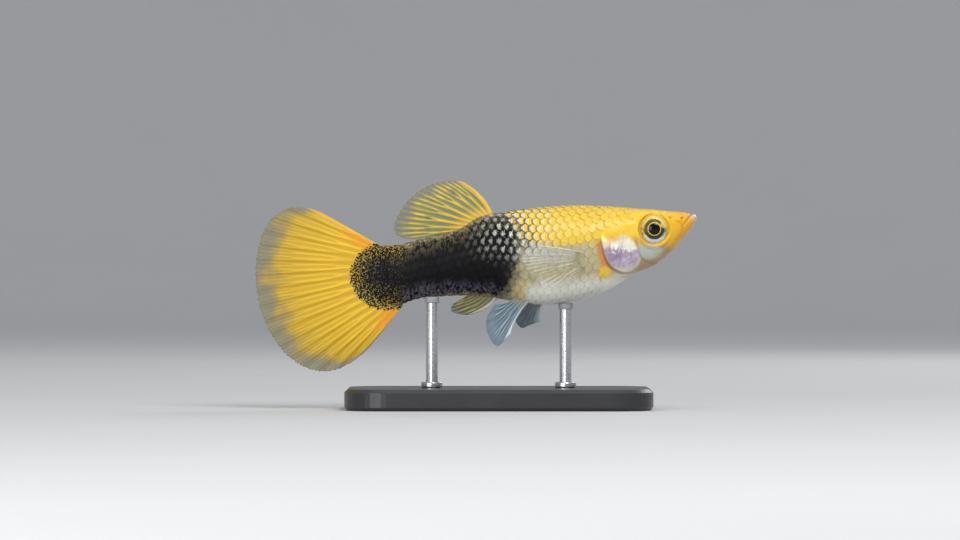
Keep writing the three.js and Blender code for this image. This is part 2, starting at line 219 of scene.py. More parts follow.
STATIONS = (
    Station(-10.2, 14.98, 7.95, 0.75, 0.5, 2, 2),
    Station(-8.5, 15.1, 8.45, 1.15, 0.5, 2, 2),
    Station(-6.6, 15.76, 8.81, 1.5, 0.5, 2, 2),
    Station(-4.2, 16.33, 9.02, 1.85, 0.52, 2, 2),
    Station(-1.9, 17.07, 9.12, 2.25, 0.54, 2, 2),
    Station(1, 18.6, 8.96, 2.8, 0.54, 2, 2),
    Station(4, 19.07, 8.55, 3.4, 0.52, 2.05, 2.1),
    Station(8, 19.54, 7.99, 4, 0.5, 2.1, 2.2),
    Station(12.2, 19.77, 8.61, 4.15, 0.52, 2.2, 2.1),
    Station(14.9, 19.66, 9.55, 3.95, 0.56, 2.4, 2),
    Station(17.6, 19.48, 11.02, 3.6, 0.6, 2.6, 1.95),
    Station(19.3, 19.34, 11.96, 3.35, 0.63, 2.8, 1.9),
    Station(20.8, 19.23, 12.55, 3.1, 0.64, 2.9, 1.9),
    Station(22.8, 19.07, 14.13, 2.65, 0.62, 2.9, 1.95),
    Station(24.2, 18.97, 15.66, 2.15, 0.6, 2.7, 2),
    Station(25, 18.8, 16.62, 1.8, 0.6, 2.5, 2),
    Station(25.3, 18.66, 17.05, 1.62, 0.6, 2.4, 2),
    Station(25.6, 18.72, 17.5, 1.35, 0.6, 2.2, 2),
    Station(25.85, 18.56, 17.9, 0.95, 0.5, 2, 2),
    Station(26, 18.2, 18.2, 0, 0.5, 2, 2),
)


@dataclass(frozen=True)
class Trunk:
    """The bare form of the head, body and tail root."""

    stations: tuple[Station, ...] = STATIONS
    tongue: TailTongue = TailTongue()

    @property
    def snout(self) -> float:
        """The foremost X."""
        return self.stations[-1].x

    def value(self, name: str, x: Array) -> Array:
        """Read one of the stations' values along the trunk."""
        ys = np.array([getattr(s, name) for s in self.stations])
        return monotone(np.array([s.x for s in self.stations]), ys, x)

    def lean_at(self, x: Array) -> Array:
        """How far a ring's top is set back, for each millimetre above its middle."""
        known = [(-10.2, self.tongue.lean), (-8.5, 0.2), (-6.6, 0.05), (-4.2, 0.0)]
        return np.interp(x, [k[0] for k in known], [k[1] for k in known])

    def section(self, x: Array) -> dict[str, Array]:
        """The cross-section at each X, with the tongue over the tail root.

        Args:
            x: Places along the trunk, down to the tongue's end.

        Returns:
            The back, belly, widest height, half width and the two powers of the outline.
        """
        t = self.tongue
        out = np.clip((t.start - x) / (t.start - t.end), 0, 1)
        round_off = np.sqrt(np.maximum(1 - out * out, 0))
        back, belly, half = (self.value(n, x) for n in ("back", "belly", "half"))
        middle = (back + belly) / 2
        thin = mix(half, np.full_like(half, t.edge_half), smoothstep(out, 0, 0.75))
        thin = thin * (1 - out**10) ** 0.5
        back, belly = middle + (back - middle) * round_off, middle + (belly - middle) * round_off
        return {
            "back": back,
            "belly": belly,
            "half": np.where(x < t.start, thin, half),
            "widest": mix(belly, back, self.value("waist", x)),
            "crown": self.value("crown", x),
            "keel": self.value("keel", x),
            "lean": self.lean_at(x),
        }

    def point(self, x: Array, angle: Array) -> Array:
        """A point of the surface.

        Args:
            x: The ring's place.
            angle: The place round the ring: 0 at the left side, a quarter turn at the back.

        Returns:
            The points, one row each.
        """
        s = self.section(x)
        cos, sin = np.cos(angle), np.sin(angle)
        power = 2 / np.where(sin > 0, s["crown"], s["keel"])
        reach = np.where(sin > 0, s["back"] - s["widest"], s["widest"] - s["belly"])
        y = s["half"] * np.sign(cos) * np.abs(cos) ** power
        z = s["widest"] + reach * np.sign(sin) * np.abs(sin) ** power
        return np.stack([x - s["lean"] * (z - (s["back"] + s["belly"]) / 2), y, z], axis=-1)

    def flank(self, x: Array, z: Array) -> Array:
        """Half the width at a place in side view.

        Args:
            x: Places along the trunk.
            z: Their heights.

        Returns:
            How far the flank is from the middle plane.
        """
        s = self.section(x)
        reach = np.where(z > s["widest"], s["back"] - s["widest"], s["widest"] - s["belly"])
        power = np.where(z > s["widest"], s["crown"], s["keel"])
        share = np.clip(np.abs(z - s["widest"]) / np.maximum(reach, TINY), 0, 1)
        return s["half"] * (1 - share**power) ** (1 / power)

    def underside(self, x: Array, y: float) -> Array:
        """The lowest Z at a place seen from below.

        Args:
            x: Places along the trunk.
            y: How far they are from the middle plane.

        Returns:
            The underside's Z.
        """
        s = self.section(x)
        share = np.clip(np.abs(y / s["half"]), 0, 1)
        return s["widest"] - (s["widest"] - s["belly"]) * (1 - share ** s["keel"]) ** (1 / s["keel"])

    def normals(self, x: Array, angle: Array) -> Array:
        """The outward normals, from small steps along the trunk and round it.

        Args:
            x: The rings' places.
            angle: The places round the rings.

        Returns:
            One normal of length 1 for each place.
        """
        step = 0.01
        low, high = np.maximum(x - step, self.tongue.end), np.minimum(x + step, self.snout)
        along = self.point(high, angle) - self.point(low, angle)
        round_it = self.point(x, angle + step) - self.point(x, angle - step)
        normal = np.cross(round_it, along)
        return normal / np.maximum(np.linalg.norm(normal, axis=1, keepdims=True), TINY)


TRUNK = Trunk()


# The head's features, in side view


@dataclass(frozen=True)
class Eye:
    """The eyeball's place and size."""

    x: float = 20.84
    z: float = 16.93
    radius: float = 1.7
    depth: float = 1.25
    bulge: float = 0.3
    pupil: float = 0.68

    @property
    def out(self) -> float:
        """How far the eyeball's middle is from the fish's middle plane."""
        return float(TRUNK.flank(np.array([self.x]), np.array([self.z]))[0]) + self.bulge - self.depth


EYE = Eye()


@dataclass(frozen=True)
class Crease:
    """A fine groove, or with a negative depth a ridge, that follows a curve on both sides of the head."""

    points: tuple[tuple[float, float], ...]
    depth: float
    width: float
    # How dark the groove is painted: painted shade in it, none on a ridge
    painted_shade: float = 0.5

    def at(self, x: Array, z: Array) -> Array:
        """The groove's strength at points in side view, fading at its ends.

        Args:
            x: The points' X.
            z: The points' Z.

        Returns:
            From 0 away from the groove to 1 along its middle.
        """
        curve = catmull_rom(list(self.points), np.linspace(0, 1, 40))
        far, share = distance_to(curve, x, z)
        return bump(far, self.width) * smoothstep(share, 0, 0.12) * smoothstep(share, 1, 0.88)


@dataclass(frozen=True)
class GillCover:
    """The plate over the gills, free along its rear and lower edge."""

    middle: tuple[float, float] = (16.95, 14.45)
    outline: tuple[tuple[float, float], ...] = (
        (14.56, 16.48),
        (14.79, 14.72),
        (15.38, 13.08),
        (16.14, 12.26),
        (17.26, 11.84),
        (18.55, 12.14),
        (19.26, 13.08),
        (19.02, 14.49),
        (18.32, 15.9),
        (17.14, 16.96),
        (15.5, 17.07),
    )
    rise: float = 0.22
    slit: float = 0.13
    slit_place: float = 0.11
    slit_width: float = 0.1
    hinge: float = 0.06
    free_from: float = math.radians(158)
    free_to: float = math.radians(296)
    free_soft: float = 0.4

    def inside(self, x: Array, z: Array) -> Array:
        """How far points are inside the outline.

        Args:
            x: The points' X.
            z: The points' Z.

        Returns:
            Millimetres inside the outline, negative outside.
        """
        curve = catmull_rom(list(self.outline), np.linspace(0, 1, 240), closed=True)
        angle = np.arctan2(curve[:, 1] - self.middle[1], curve[:, 0] - self.middle[0])
        radius = np.hypot(curve[:, 0] - self.middle[0], curve[:, 1] - self.middle[1])
        order = np.argsort(angle)
        here = np.arctan2(z - self.middle[1], x - self.middle[0])
        edge = np.interp(here, angle[order], radius[order], period=2 * math.pi)
        return edge - np.hypot(x - self.middle[0], z - self.middle[1])

    def free(self, x: Array, z: Array) -> Array:
        """Tell the free edge from the hinge at the front and top.

        Args:
            x: The points' X.
            z: The points' Z.

        Returns:
            1 towards the free edge, 0 towards the hinge.
        """
        turn = np.mod(np.arctan2(z - self.middle[1], x - self.middle[0]), 2 * math.pi)
        after = smoothstep(turn, self.free_from - self.free_soft, self.free_from)
        return after * smoothstep(turn, self.free_to + self.free_soft, self.free_to - self.free_soft)

    def lift(self, x: Array, z: Array) -> Array:
        """How far the plate and its slit raise or sink the skin.

        Args:
            x: The points' X.
            z: The points' Z.

        Returns:
            Millimetres outwards.
        """
        inside, free = self.inside(x, z), self.free(x, z)
        plate = self.rise * smoothstep(inside, -0.03, 0.1) * (1 - 0.55 * smoothstep(inside, 0.2, 2.2))
        slit = self.slit * bump(inside + self.slit_place, self.slit_width)
        front = smoothstep(x, self.middle[0] + 0.9, self.middle[0] + 1.6)
        hinge = self.hinge * bump(inside, 0.13) * front
        return free * (plate - slit) + (1 - free) * (0.3 * plate * smoothstep(inside, 0, 1.4) - hinge)


@dataclass(frozen=True)
class Mouth:
    """The upturned mouth, a cleft that slants down and back from the tip of the snout."""

    front: tuple[float, float] = (25.19, 18.66)
    corner: tuple[float, float] = (24.3, 17.35)
    depth: float = 0.15
    width: float = 0.07
    lip_rise: float = 0.035
    lip_set: float = 0.2
    lip_width: float = 0.13

    def along(self, x: Array, z: Array) -> tuple[Array, Array]:
        """Where points are beside and along the cleft.

        Args:
            x: The points' X.
            z: The points' Z.

        Returns:
            The signed distance from the cleft's plane, and the place from 0 at its corner to 1 in front.
        """
        run = np.array(self.front) - np.array(self.corner)
        length = np.linalg.norm(run)
        run = run / length
        dx, dz = x - self.corner[0], z - self.corner[1]
        return dx * -run[1] + dz * run[0], (dx * run[0] + dz * run[1]) / length

    def lift(self, x: Array, z: Array) -> Array:
        """How far the cleft and the lips raise or sink the skin.

        Args:
            x: The points' X.
            z: The points' Z.

        Returns:
            Millimetres outwards.
        """
        across, share = self.along(x, z)
        cleft = -self.depth * bump(across, self.width) * smoothstep(share, -0.12, 0.2)
        return cleft + self.lips(x, z) * self.lip_rise

    def lips(self, x: Array, z: Array) -> Array:
        """1 on the crown of either lip."""
        across, share = self.along(x, z)
        return bump(np.abs(across) - self.lip_set, self.lip_width) * smoothstep(share, -0.25, 0.15)


@dataclass(frozen=True)
class Nostril:
    """A pit with a raised rim."""

    x: float
    z: float
    radius: float
    depth: float = 0.28
    rim: float = 0.06
    flatness: float = 1.3

    def lift(self, x: Array, z: Array) -> Array:
        """How far the pit and its rim sink or raise the skin.

        Args:
            x: The points' X.
            z: The points' Z.

        Returns:
            Millimetres outwards.
        """
        far = np.hypot(x - self.x, (z - self.z) * self.flatness)
        rim = self.rim * bump(far - 1.5 * self.radius, 0.6 * self.radius)
        return rim - self.depth * bump(far, 0.8 * self.radius)


GILL = GillCover()
MOUTH = Mouth()
NOSTRILS = (Nostril(24.15, 18.25, 0.19), Nostril(22.72, 18.3, 0.15))
CREASES = (
    # The edge of the cheek plate behind and below the eye
    Crease(
        ((18.3, 16.2), (18.85, 15.1), (19.15, 13.9), (19.9, 13.1), (21.2, 13.0), (22.2, 13.6)),
        0.08,
        0.14,
    ),
    # The line under the eye
    Crease(((19.0, 15.6), (19.9, 14.75), (21.0, 14.45), (22.1, 14.9), (23.0, 15.9)), 0.05, 0.15, 0.3),
    # The upper jaw bone
    Crease(((23.3, 17.9), (23.95, 17.7), (24.2, 17.1), (24.05, 16.5)), 0.07, 0.1),
    # The lower jaw
    Crease(((24.3, 17.3), (24.0, 16.3), (23.2, 15.3), (22.2, 14.3), (21.2, 13.5)), 0.035, 0.15, 0.2),
    # Folds of the throat membrane under the gill cover
    Crease(((21.4, 12.75), (20.2, 12.15), (19.0, 11.75), (17.8, 11.35), (16.7, 11.3)), 0.07, 0.11),
    Crease(((20.6, 12.3), (19.4, 11.75), (18.2, 11.3), (17.0, 10.85)), 0.05, 0.1, 0.35),
    # Fine folds that fan over the gill cover
    Crease(((18.6, 15.1), (17.6, 15.0), (16.4, 15.4), (15.5, 16.0)), 0.035, 0.16, 0.15),
    Crease(((18.8, 14.3), (17.8, 13.8), (16.6, 13.6), (15.7, 13.8)), 0.035, 0.16, 0.15),
    Crease(((18.9, 13.5), (18.1, 12.9), (17.1, 12.6), (16.4, 12.7)), 0.03, 0.14, 0.15),
    # The ridge over the eye
    Crease(((18.6, 18.6), (19.8, 19.0), (21.2, 18.95), (22.4, 18.55)), -0.06, 0.28, 0.0),
)


@dataclass(frozen=True)
class SkinRelief:
    """All that raises or sinks the skin of the head."""

    starts: float = 13.6
    rim: float = 0.07
    rim_radius: float = 1.98
    rim_width: float = 0.2
    socket: float = 1.56
    socket_depth: float = 0.2
    fold: float = 0.035

    def lift(self, points: Array) -> Array:
        """How far each point of the skin moves along its normal.

        Args:
            points: The skin's points.

        Returns:
            Millimetres outwards.
        """
        x, z = points[:, 0], points[:, 2]
        lift = np.zeros(len(points))
        head = x > self.starts
        hx, hz = x[head], z[head]
        here = GILL.lift(hx, hz) + MOUTH.lift(hx, hz)
        for crease in CREASES:
            here -= crease.depth * crease.at(hx, hz)
        for nostril in NOSTRILS:
            here += nostril.lift(hx, hz)
        from_eye = np.hypot(hx - EYE.x, hz - EYE.z)
        here *= smoothstep(from_eye, self.socket, self.rim_radius + 0.25)
        here += self.rim * bump(from_eye - self.rim_radius, self.rim_width)
        lift[head] = here
        return lift

    def seat_eye(self, points: Array) -> Array:
        """Sink the skin round the eyeball, so that its rim slopes down to the ball.

        Args:
            points: The skin's points after they were lifted.

        Returns:
            The points with those in the socket moved inwards.
        """
        moved = points.copy()
        x, y, z = points.T
        far = np.hypot(x - EYE.x, z - EYE.z)
        near = far < self.rim_radius
        ball = EYE.out + EYE.depth * np.sqrt(np.maximum(1 - (far / EYE.radius) ** 2, 0))
        fold = mix(np.abs(y), ball + self.fold, smoothstep(far, self.rim_radius, self.socket))
        wall = np.maximum(fold, ball + self.fold)
        floor = np.full_like(y, EYE.out + self.socket_depth)
        target = mix(wall, floor, smoothstep(far, self.socket, self.socket - 0.1))
        moved[near, 1] = (np.sign(y) * target)[near]
        return moved


RELIEF = SkinRelief()


# The markings, shared by skin and scales


@dataclass(frozen=True)
class Markings:
    """Signed distances to the edges of the coloured areas, which the finishes turn into colour."""

    gold_line: tuple[tuple[float, float], ...] = (
        (-2, 18.6),
        (3, 17.2),
        (6.0, 15.6),
        (9.0, 15.0),
        (13.0, 15.2),
        (14.4, 15.5),
        (15.8, 15.5),
        (17.0, 15.9),
        (18.2, 15.6),
        (19.2, 15.3),
        (20.8, 14.9),
        (22.4, 15.0),
        (23.4, 14.9),
        (24.4, 15.8),
        (26.0, 16.6),
    )
    dark_front: tuple[tuple[float, float], ...] = (
        (8.0, 2.6),
        (10.5, 4.4),
        (13.0, 4.9),
        (15.0, 5.2),
        (17.0, 5.0),
        (18.5, 3.6),
        (19.5, 1.5),
    )
    far_outside: float = -5.0
    # How dark the painted shade is under the gill cover's free edge, in the mouth's cleft and in the nostrils
    gill_slit_shade: float = 0.9
    mouth_cleft_shade: float = 0.6
    nostril_pit_shade: float = 0.5

    def fields(self, points: Array) -> dict[str, Array]:
        """The fields at points of the fish.

        Args:
            points: Points in the fish's frame.

        Returns:
            gold: millimetres above the lower edge of the gold; dark: millimetres behind the front of the
                black; ridge and keel: millimetres below the back's outline and above the belly's; gill:
                millimetres inside the gill cover; lip: from 0 to 1; crease: painted shade in the grooves,
                pits, mouth cleft and under the gill cover's free edge, from 0 to 1.
        """
        x, z = points[:, 0], points[:, 2]
        gold = z - np.interp(x, *np.array(self.gold_line).T)
        dark = np.interp(z, *np.array(self.dark_front).T) - x
        gill = np.full(len(x), self.far_outside)
        lip, crease = np.zeros(len(x)), np.zeros(len(x))
        head = x > RELIEF.starts
        hx, hz = x[head], z[head]
        gill[head] = GILL.inside(hx, hz)
        lip[head] = MOUTH.lips(hx, hz)
        # Painted shade in the creases, under the gill cover's free edge, in the mouth's cleft and in the
        # nostril pits
        painted_shade = np.zeros(len(hx))
        for one in CREASES:
            painted_shade = np.maximum(painted_shade, one.painted_shade * one.at(hx, hz))
        slit = GILL.free(hx, hz) * bump(gill[head] + GILL.slit_width, GILL.slit_width)
        painted_shade = np.maximum(painted_shade, self.gill_slit_shade * slit)
        across, share = MOUTH.along(hx, hz)
        cleft = bump(across, MOUTH.width) * smoothstep(share, -0.1, 0.2)
        painted_shade = np.maximum(painted_shade, self.mouth_cleft_shade * cleft)
        for nostril in NOSTRILS:
            far = np.hypot(hx - nostril.x, hz - nostril.z)
            painted_shade = np.maximum(painted_shade, self.nostril_pit_shade * bump(far, 0.8 * nostril.radius))
        crease[head] = painted_shade
        ridge, keel = TRUNK.value("back", x) - z, z - TRUNK.value("belly", x)
        named = {"gold": gold, "dark": dark, "ridge": ridge, "keel": keel}
        return named | {"gill": gill, "lip": lip, "crease": crease}


MARKINGS = Markings()


# Shader maths


Colour = tuple[float, float, float]


class Value:
    """A number socket of a material, on which Python's operators add Math nodes."""

    def __init__(self, shade: "Shade", socket: bpy.types.NodeSocket) -> None:
        """Wrap one socket of a material."""
        self.shade = shade
        self.socket = socket

    def __add__(self, other: "Number") -> "Value":
        """Add."""
        return self.shade.math("ADD", self, other)

    __radd__ = __add__

    def __sub__(self, other: "Number") -> "Value":
        """Subtract."""
        return self.shade.math("SUBTRACT", self, other)

    def __rsub__(self, other: "Number") -> "Value":
        """Subtract from a number."""
        return self.shade.math("SUBTRACT", other, self)

    def __mul__(self, other: "Number") -> "Value":
        """Multiply."""
        return self.shade.math("MULTIPLY", self, other)

    __rmul__ = __mul__

    def __pow__(self, other: "Number") -> "Value":
        """Raise to a power."""
        return self.shade.math("POWER", self, other)

    def __abs__(self) -> "Value":
        """Drop the sign."""
        return self.shade.math("ABSOLUTE", self)

    def most(self, other: "Number") -> "Value":
        """The larger of two."""
        return self.shade.math("MAXIMUM", self, other)

    def least(self, other: "Number") -> "Value":
        """The smaller of two."""
        return self.shade.math("MINIMUM", self, other)

    def step(self, low: float, high: float) -> "Value":
        """Rise smoothly from 0 at `low` to 1 at `high`.

        Args:
            low: Where the step starts.
            high: Where the step ends; it may lie below `low`, and the step then falls.

        Returns:
            A number from 0 to 1.
        """
        falls = high < low
        sockets = {"Value": self, "From Min": min(low, high), "From Max": max(low, high)}
        sockets |= {"To Min": float(falls), "To Max": float(not falls)}
        return self.shade.node("ShaderNodeMapRange", {"interpolation_type": "SMOOTHSTEP"}, sockets, "Result")


Number = Value | float


class Shade:
    """A material being wired."""

    def __init__(self, name: str) -> None:
        """Start a material with nothing in it but the place on the piece.

        Args:
            name: The material's name.
        """
        self.material = bpy.data.materials.new(name)
        self.material.use_nodes = True
        self.tree = self.material.node_tree
        self.tree.nodes.clear()
        self.place = self.node("ShaderNodeTexCoord", {}, {}, "Object")

    def add(self, kind: str, settings: dict, sockets: dict) -> bpy.types.Node:
        """Add a node.

        Args:
            kind: The node's type.
            settings: What is set on the node itself.
            sockets: A value or a link for each input, by name or number.

        Returns:
            The node.
        """
        made = self.tree.nodes.new(kind)
        for name, value in settings.items():
            setattr(made, name, value)
        for name, value in sockets.items():
            target = made.inputs[name]
            if isinstance(value, Value):
                self.tree.links.new(value.socket, target)
            elif target.type == "RGBA":
                target.default_value = (*value, 1.0)
            else:
                target.default_value = value
        return made

    def node(self, kind: str, settings: dict, sockets: dict, output: str | int = 0) -> Value:
        """Add a node and take one of its outputs."""
        return Value(self, self.add(kind, settings, sockets).outputs[output])

    def math(self, operation: str, *values: Number) -> Value:
        """One Math node."""
        return self.node("ShaderNodeMath", {"operation": operation}, dict(enumerate(values)))

    def blend(self, under: Value | Colour, over: Value | Colour, share: Number) -> Value:
        """One colour over another; a colour Mix has its factor and inputs at 0, 6 and 7, its output at 2."""
        return self.node("ShaderNodeMix", {"data_type": "RGBA"}, {0: share, 6: under, 7: over}, 2)

    def noise(self, size: float, detail: float = 2.0, stretch: Colour = (1, 1, 1)) -> Value:
        """Soft noise from about 0 to 1.

        Args:
            size: The rough size of its spots in millimetres.
            detail: How many finer layers it has.
            stretch: How many times longer the spots are along each axis.

        Returns:
            The noise.
        """
        scale = tuple(1 / (MM * size * s) for s in stretch)
        where = self.node("ShaderNodeMapping", {}, {"Vector": self.place, "Scale": scale})
        return self.node("ShaderNodeTexNoise", {}, {"Vector": where, "Scale": 1.0, "Detail": detail})

    def streaks(
        self, across: Value, out: Value, counts: tuple[float, float], layer: float, detail: float
    ) -> Value:
        """Noise that runs along the rays of a fin.

        Args:
            across: Place across the fin.
            out: Place from its root to its margin.
            counts: How many spots lie across and out.
            layer: Which layer of the noise is read, so that two streaks differ.
            detail: How many finer layers it has.

        Returns:
            The noise, from about 0 to 1.
        """
        sockets = {"X": across * counts[0], "Y": out * counts[1], "Z": layer}
        where = self.node("ShaderNodeCombineXYZ", {}, sockets)
        return self.node("ShaderNodeTexNoise", {}, {"Vector": where, "Scale": 1.0, "Detail": detail})

    def spots(self, size: float) -> Value:
        """Distance to the nearest of scattered points, in spots' own size."""
        where = self.node("ShaderNodeMapping", {}, {"Vector": self.place, "Scale": (1 / (MM * size),) * 3})
        return self.node("ShaderNodeTexVoronoi", {}, {"Vector": where, "Scale": 1.0}, "Distance")

    def attribute(self, name: str) -> Value:
        """A number that the mesh carries."""
        return self.node("ShaderNodeAttribute", {"attribute_name": name}, {}, "Fac")

    def position(self) -> tuple[Value, Value]:
        """Where a point is in side view.

        Returns:
            X and Z in millimetres in the fish's frame.
        """
        split = self.add("ShaderNodeSeparateXYZ", {}, {"Vector": self.place})
        x, z = (Value(self, split.outputs[axis]) * (1 / MM) for axis in "XZ")
        return x, z - TAIL_CLEARANCE

    def finish(self, sockets: dict, relief: Value | None = None, height: float = 0.05) -> bpy.types.Material:
        """Close the material with its surface shader.

        Args:
            sockets: Values and links of the surface shader.
            relief: Height of the fine relief, from 0 to 1.
            height: What a relief of 1 stands for, in millimetres.

        Returns:
            The finished material.
        """
        if relief is not None:
            bumps = {"Height": relief, "Distance": height * MM, "Strength": 1.0}
            sockets = sockets | {"Normal": self.node("ShaderNodeBump", {}, bumps, "Normal")}
        surface = self.node("ShaderNodeBsdfPrincipled", {}, sockets)
        self.add("ShaderNodeOutputMaterial", {}, {"Surface": surface})
        return self.material


# The finishes


@dataclass(frozen=True)
class RootPattern:
    """The black specks that crowd together where the tail's flesh runs out over its fin."""

    middle: tuple[float, float] = (-10.6, 11.45)
    stretch: float = 1.05
    reach: float = 3.95
    grain: float = 0.175
    black: Colour = (0.004, 0.004, 0.005)
    brown: Colour = (0.1, 0.075, 0.038)
    olive: Colour = (0.34, 0.24, 0.035)
    gold: Colour = (0.66, 0.43, 0.03)

    def over(self, s: Shade, base: Value, x: Value, z: Value) -> Value:
        """Lay the specks over a colour.

        Args:
            s: The material.
            base: The colour beyond the specks.
            x: X in the fish's frame.
            z: Z in the fish's frame.

        Returns:
            The colour with its specks.
        """
        dx = (x - self.middle[0]).least(0.0) * (1 / self.stretch)
        dz = z - self.middle[1]
        deep = self.reach - (dx * dx + dz * dz) ** 0.5
        share = 0.33 + deep.step(3.6, 2.2) * 0.09 + deep.step(2.0, 0.3) * 0.05 + deep.step(0.15, -0.5) * 0.4
        light = (share - s.noise(self.grain, 1.0)).step(-0.025, 0.025)
        pale = s.blend(base, self.olive, deep.step(-0.25, 0.5))
        pale = s.blend(pale, self.brown, deep.step(0.8, 2.4))
        return s.blend(self.black, pale, light)


ROOT_PATTERN = RootPattern()


@dataclass(frozen=True)
class BodyColours:
    """The colours of the skin and scales."""

    gold: Colour = (0.86, 0.56, 0.04)
    amber: Colour = (0.83, 0.36, 0.015)
    pale_gold: Colour = (0.93, 0.76, 0.22)
    sheen: Colour = (0.46, 0.5, 0.5)
    cream: Colour = (0.5, 0.43, 0.23)
    bar: Colour = (0.24, 0.21, 0.12)
    white: Colour = (0.92, 0.91, 0.8)
    beige: Colour = (0.46, 0.3, 0.15)
    silver: Colour = (0.5, 0.56, 0.55)
    pearl: Colour = (0.76, 0.66, 0.52)
    lilac: Colour = (0.3, 0.2, 0.36)
    pale_lilac: Colour = (0.6, 0.5, 0.68)
    rust: Colour = (0.62, 0.2, 0.025)
    orange: Colour = (0.8, 0.36, 0.04)
    lip: Colour = (0.78, 0.52, 0.36)
    # Painted shade for the head's grooves, pits and the gill cover's edge
    crease: Colour = (0.2, 0.09, 0.02)
    black: Colour = (0.004, 0.004, 0.005)
    violet: Colour = (0.115, 0.11, 0.135)
    drab: Colour = (0.4, 0.33, 0.18)
    fleck: Colour = (0.1, 0.085, 0.045)
    outline: Colour = (0.05, 0.038, 0.014)
    # Silver scale colour with painted highlight, for the scales' bright middles
    silver_scale_highlight: Colour = (0.74, 0.74, 0.64)


@dataclass(frozen=True)
class Patch:
    """A soft oval of colour in side view."""

    middle: tuple[float, float]
    size: tuple[float, float]
    full: float = 0.0
    ends: float = 1.35

    def share(self, x: Value, z: Value) -> Value:
        """How much of the patch is at a place.

        Args:
            x: Place along the fish.
            z: Height.

        Returns:
            1 up to the squared distance `full`, in the patch's own size, and 0 past `ends`.
        """
        dx, dz = (x - self.middle[0]) * (1 / self.size[0]), (z - self.middle[1]) * (1 / self.size[1])
        return (dx * dx + dz * dz).step(self.ends, self.full)


@dataclass(frozen=True)
class BodyPatches:
    """Where the soft patches of the skin's colours lie."""

    sheen: Patch = Patch((8.2, 14.2), (5.0, 1.7))
    vent: Patch = Patch((5.2, 9.5), (0.9, 1.2), 0.45)
    silver: Patch = Patch((3.6, 17.3), (6.4, 4.2))
    snout: Patch = Patch((25.75, 18.3), (0.55, 0.5), 0.45)
    cheek: Patch = Patch((20.1, 14.35), (1.8, 1.0), 0.45)
    chin: Patch = Patch((23.7, 15.0), (1.3, 0.75), 0.45)
    lilac: Patch = Patch((17.1, 13.7), (2.5, 1.5), 0.45)
    low_glint: Patch = Patch((16.3, 15.0), (0.8, 0.75))
    front_glint: Patch = Patch((17.85, 15.05), (0.95, 1.0))
    high_glint: Patch = Patch((14.9, 16.4), (0.55, 0.6))
    gill_spot: Patch = Patch((15.05, 11.9), (1.0, 0.85))


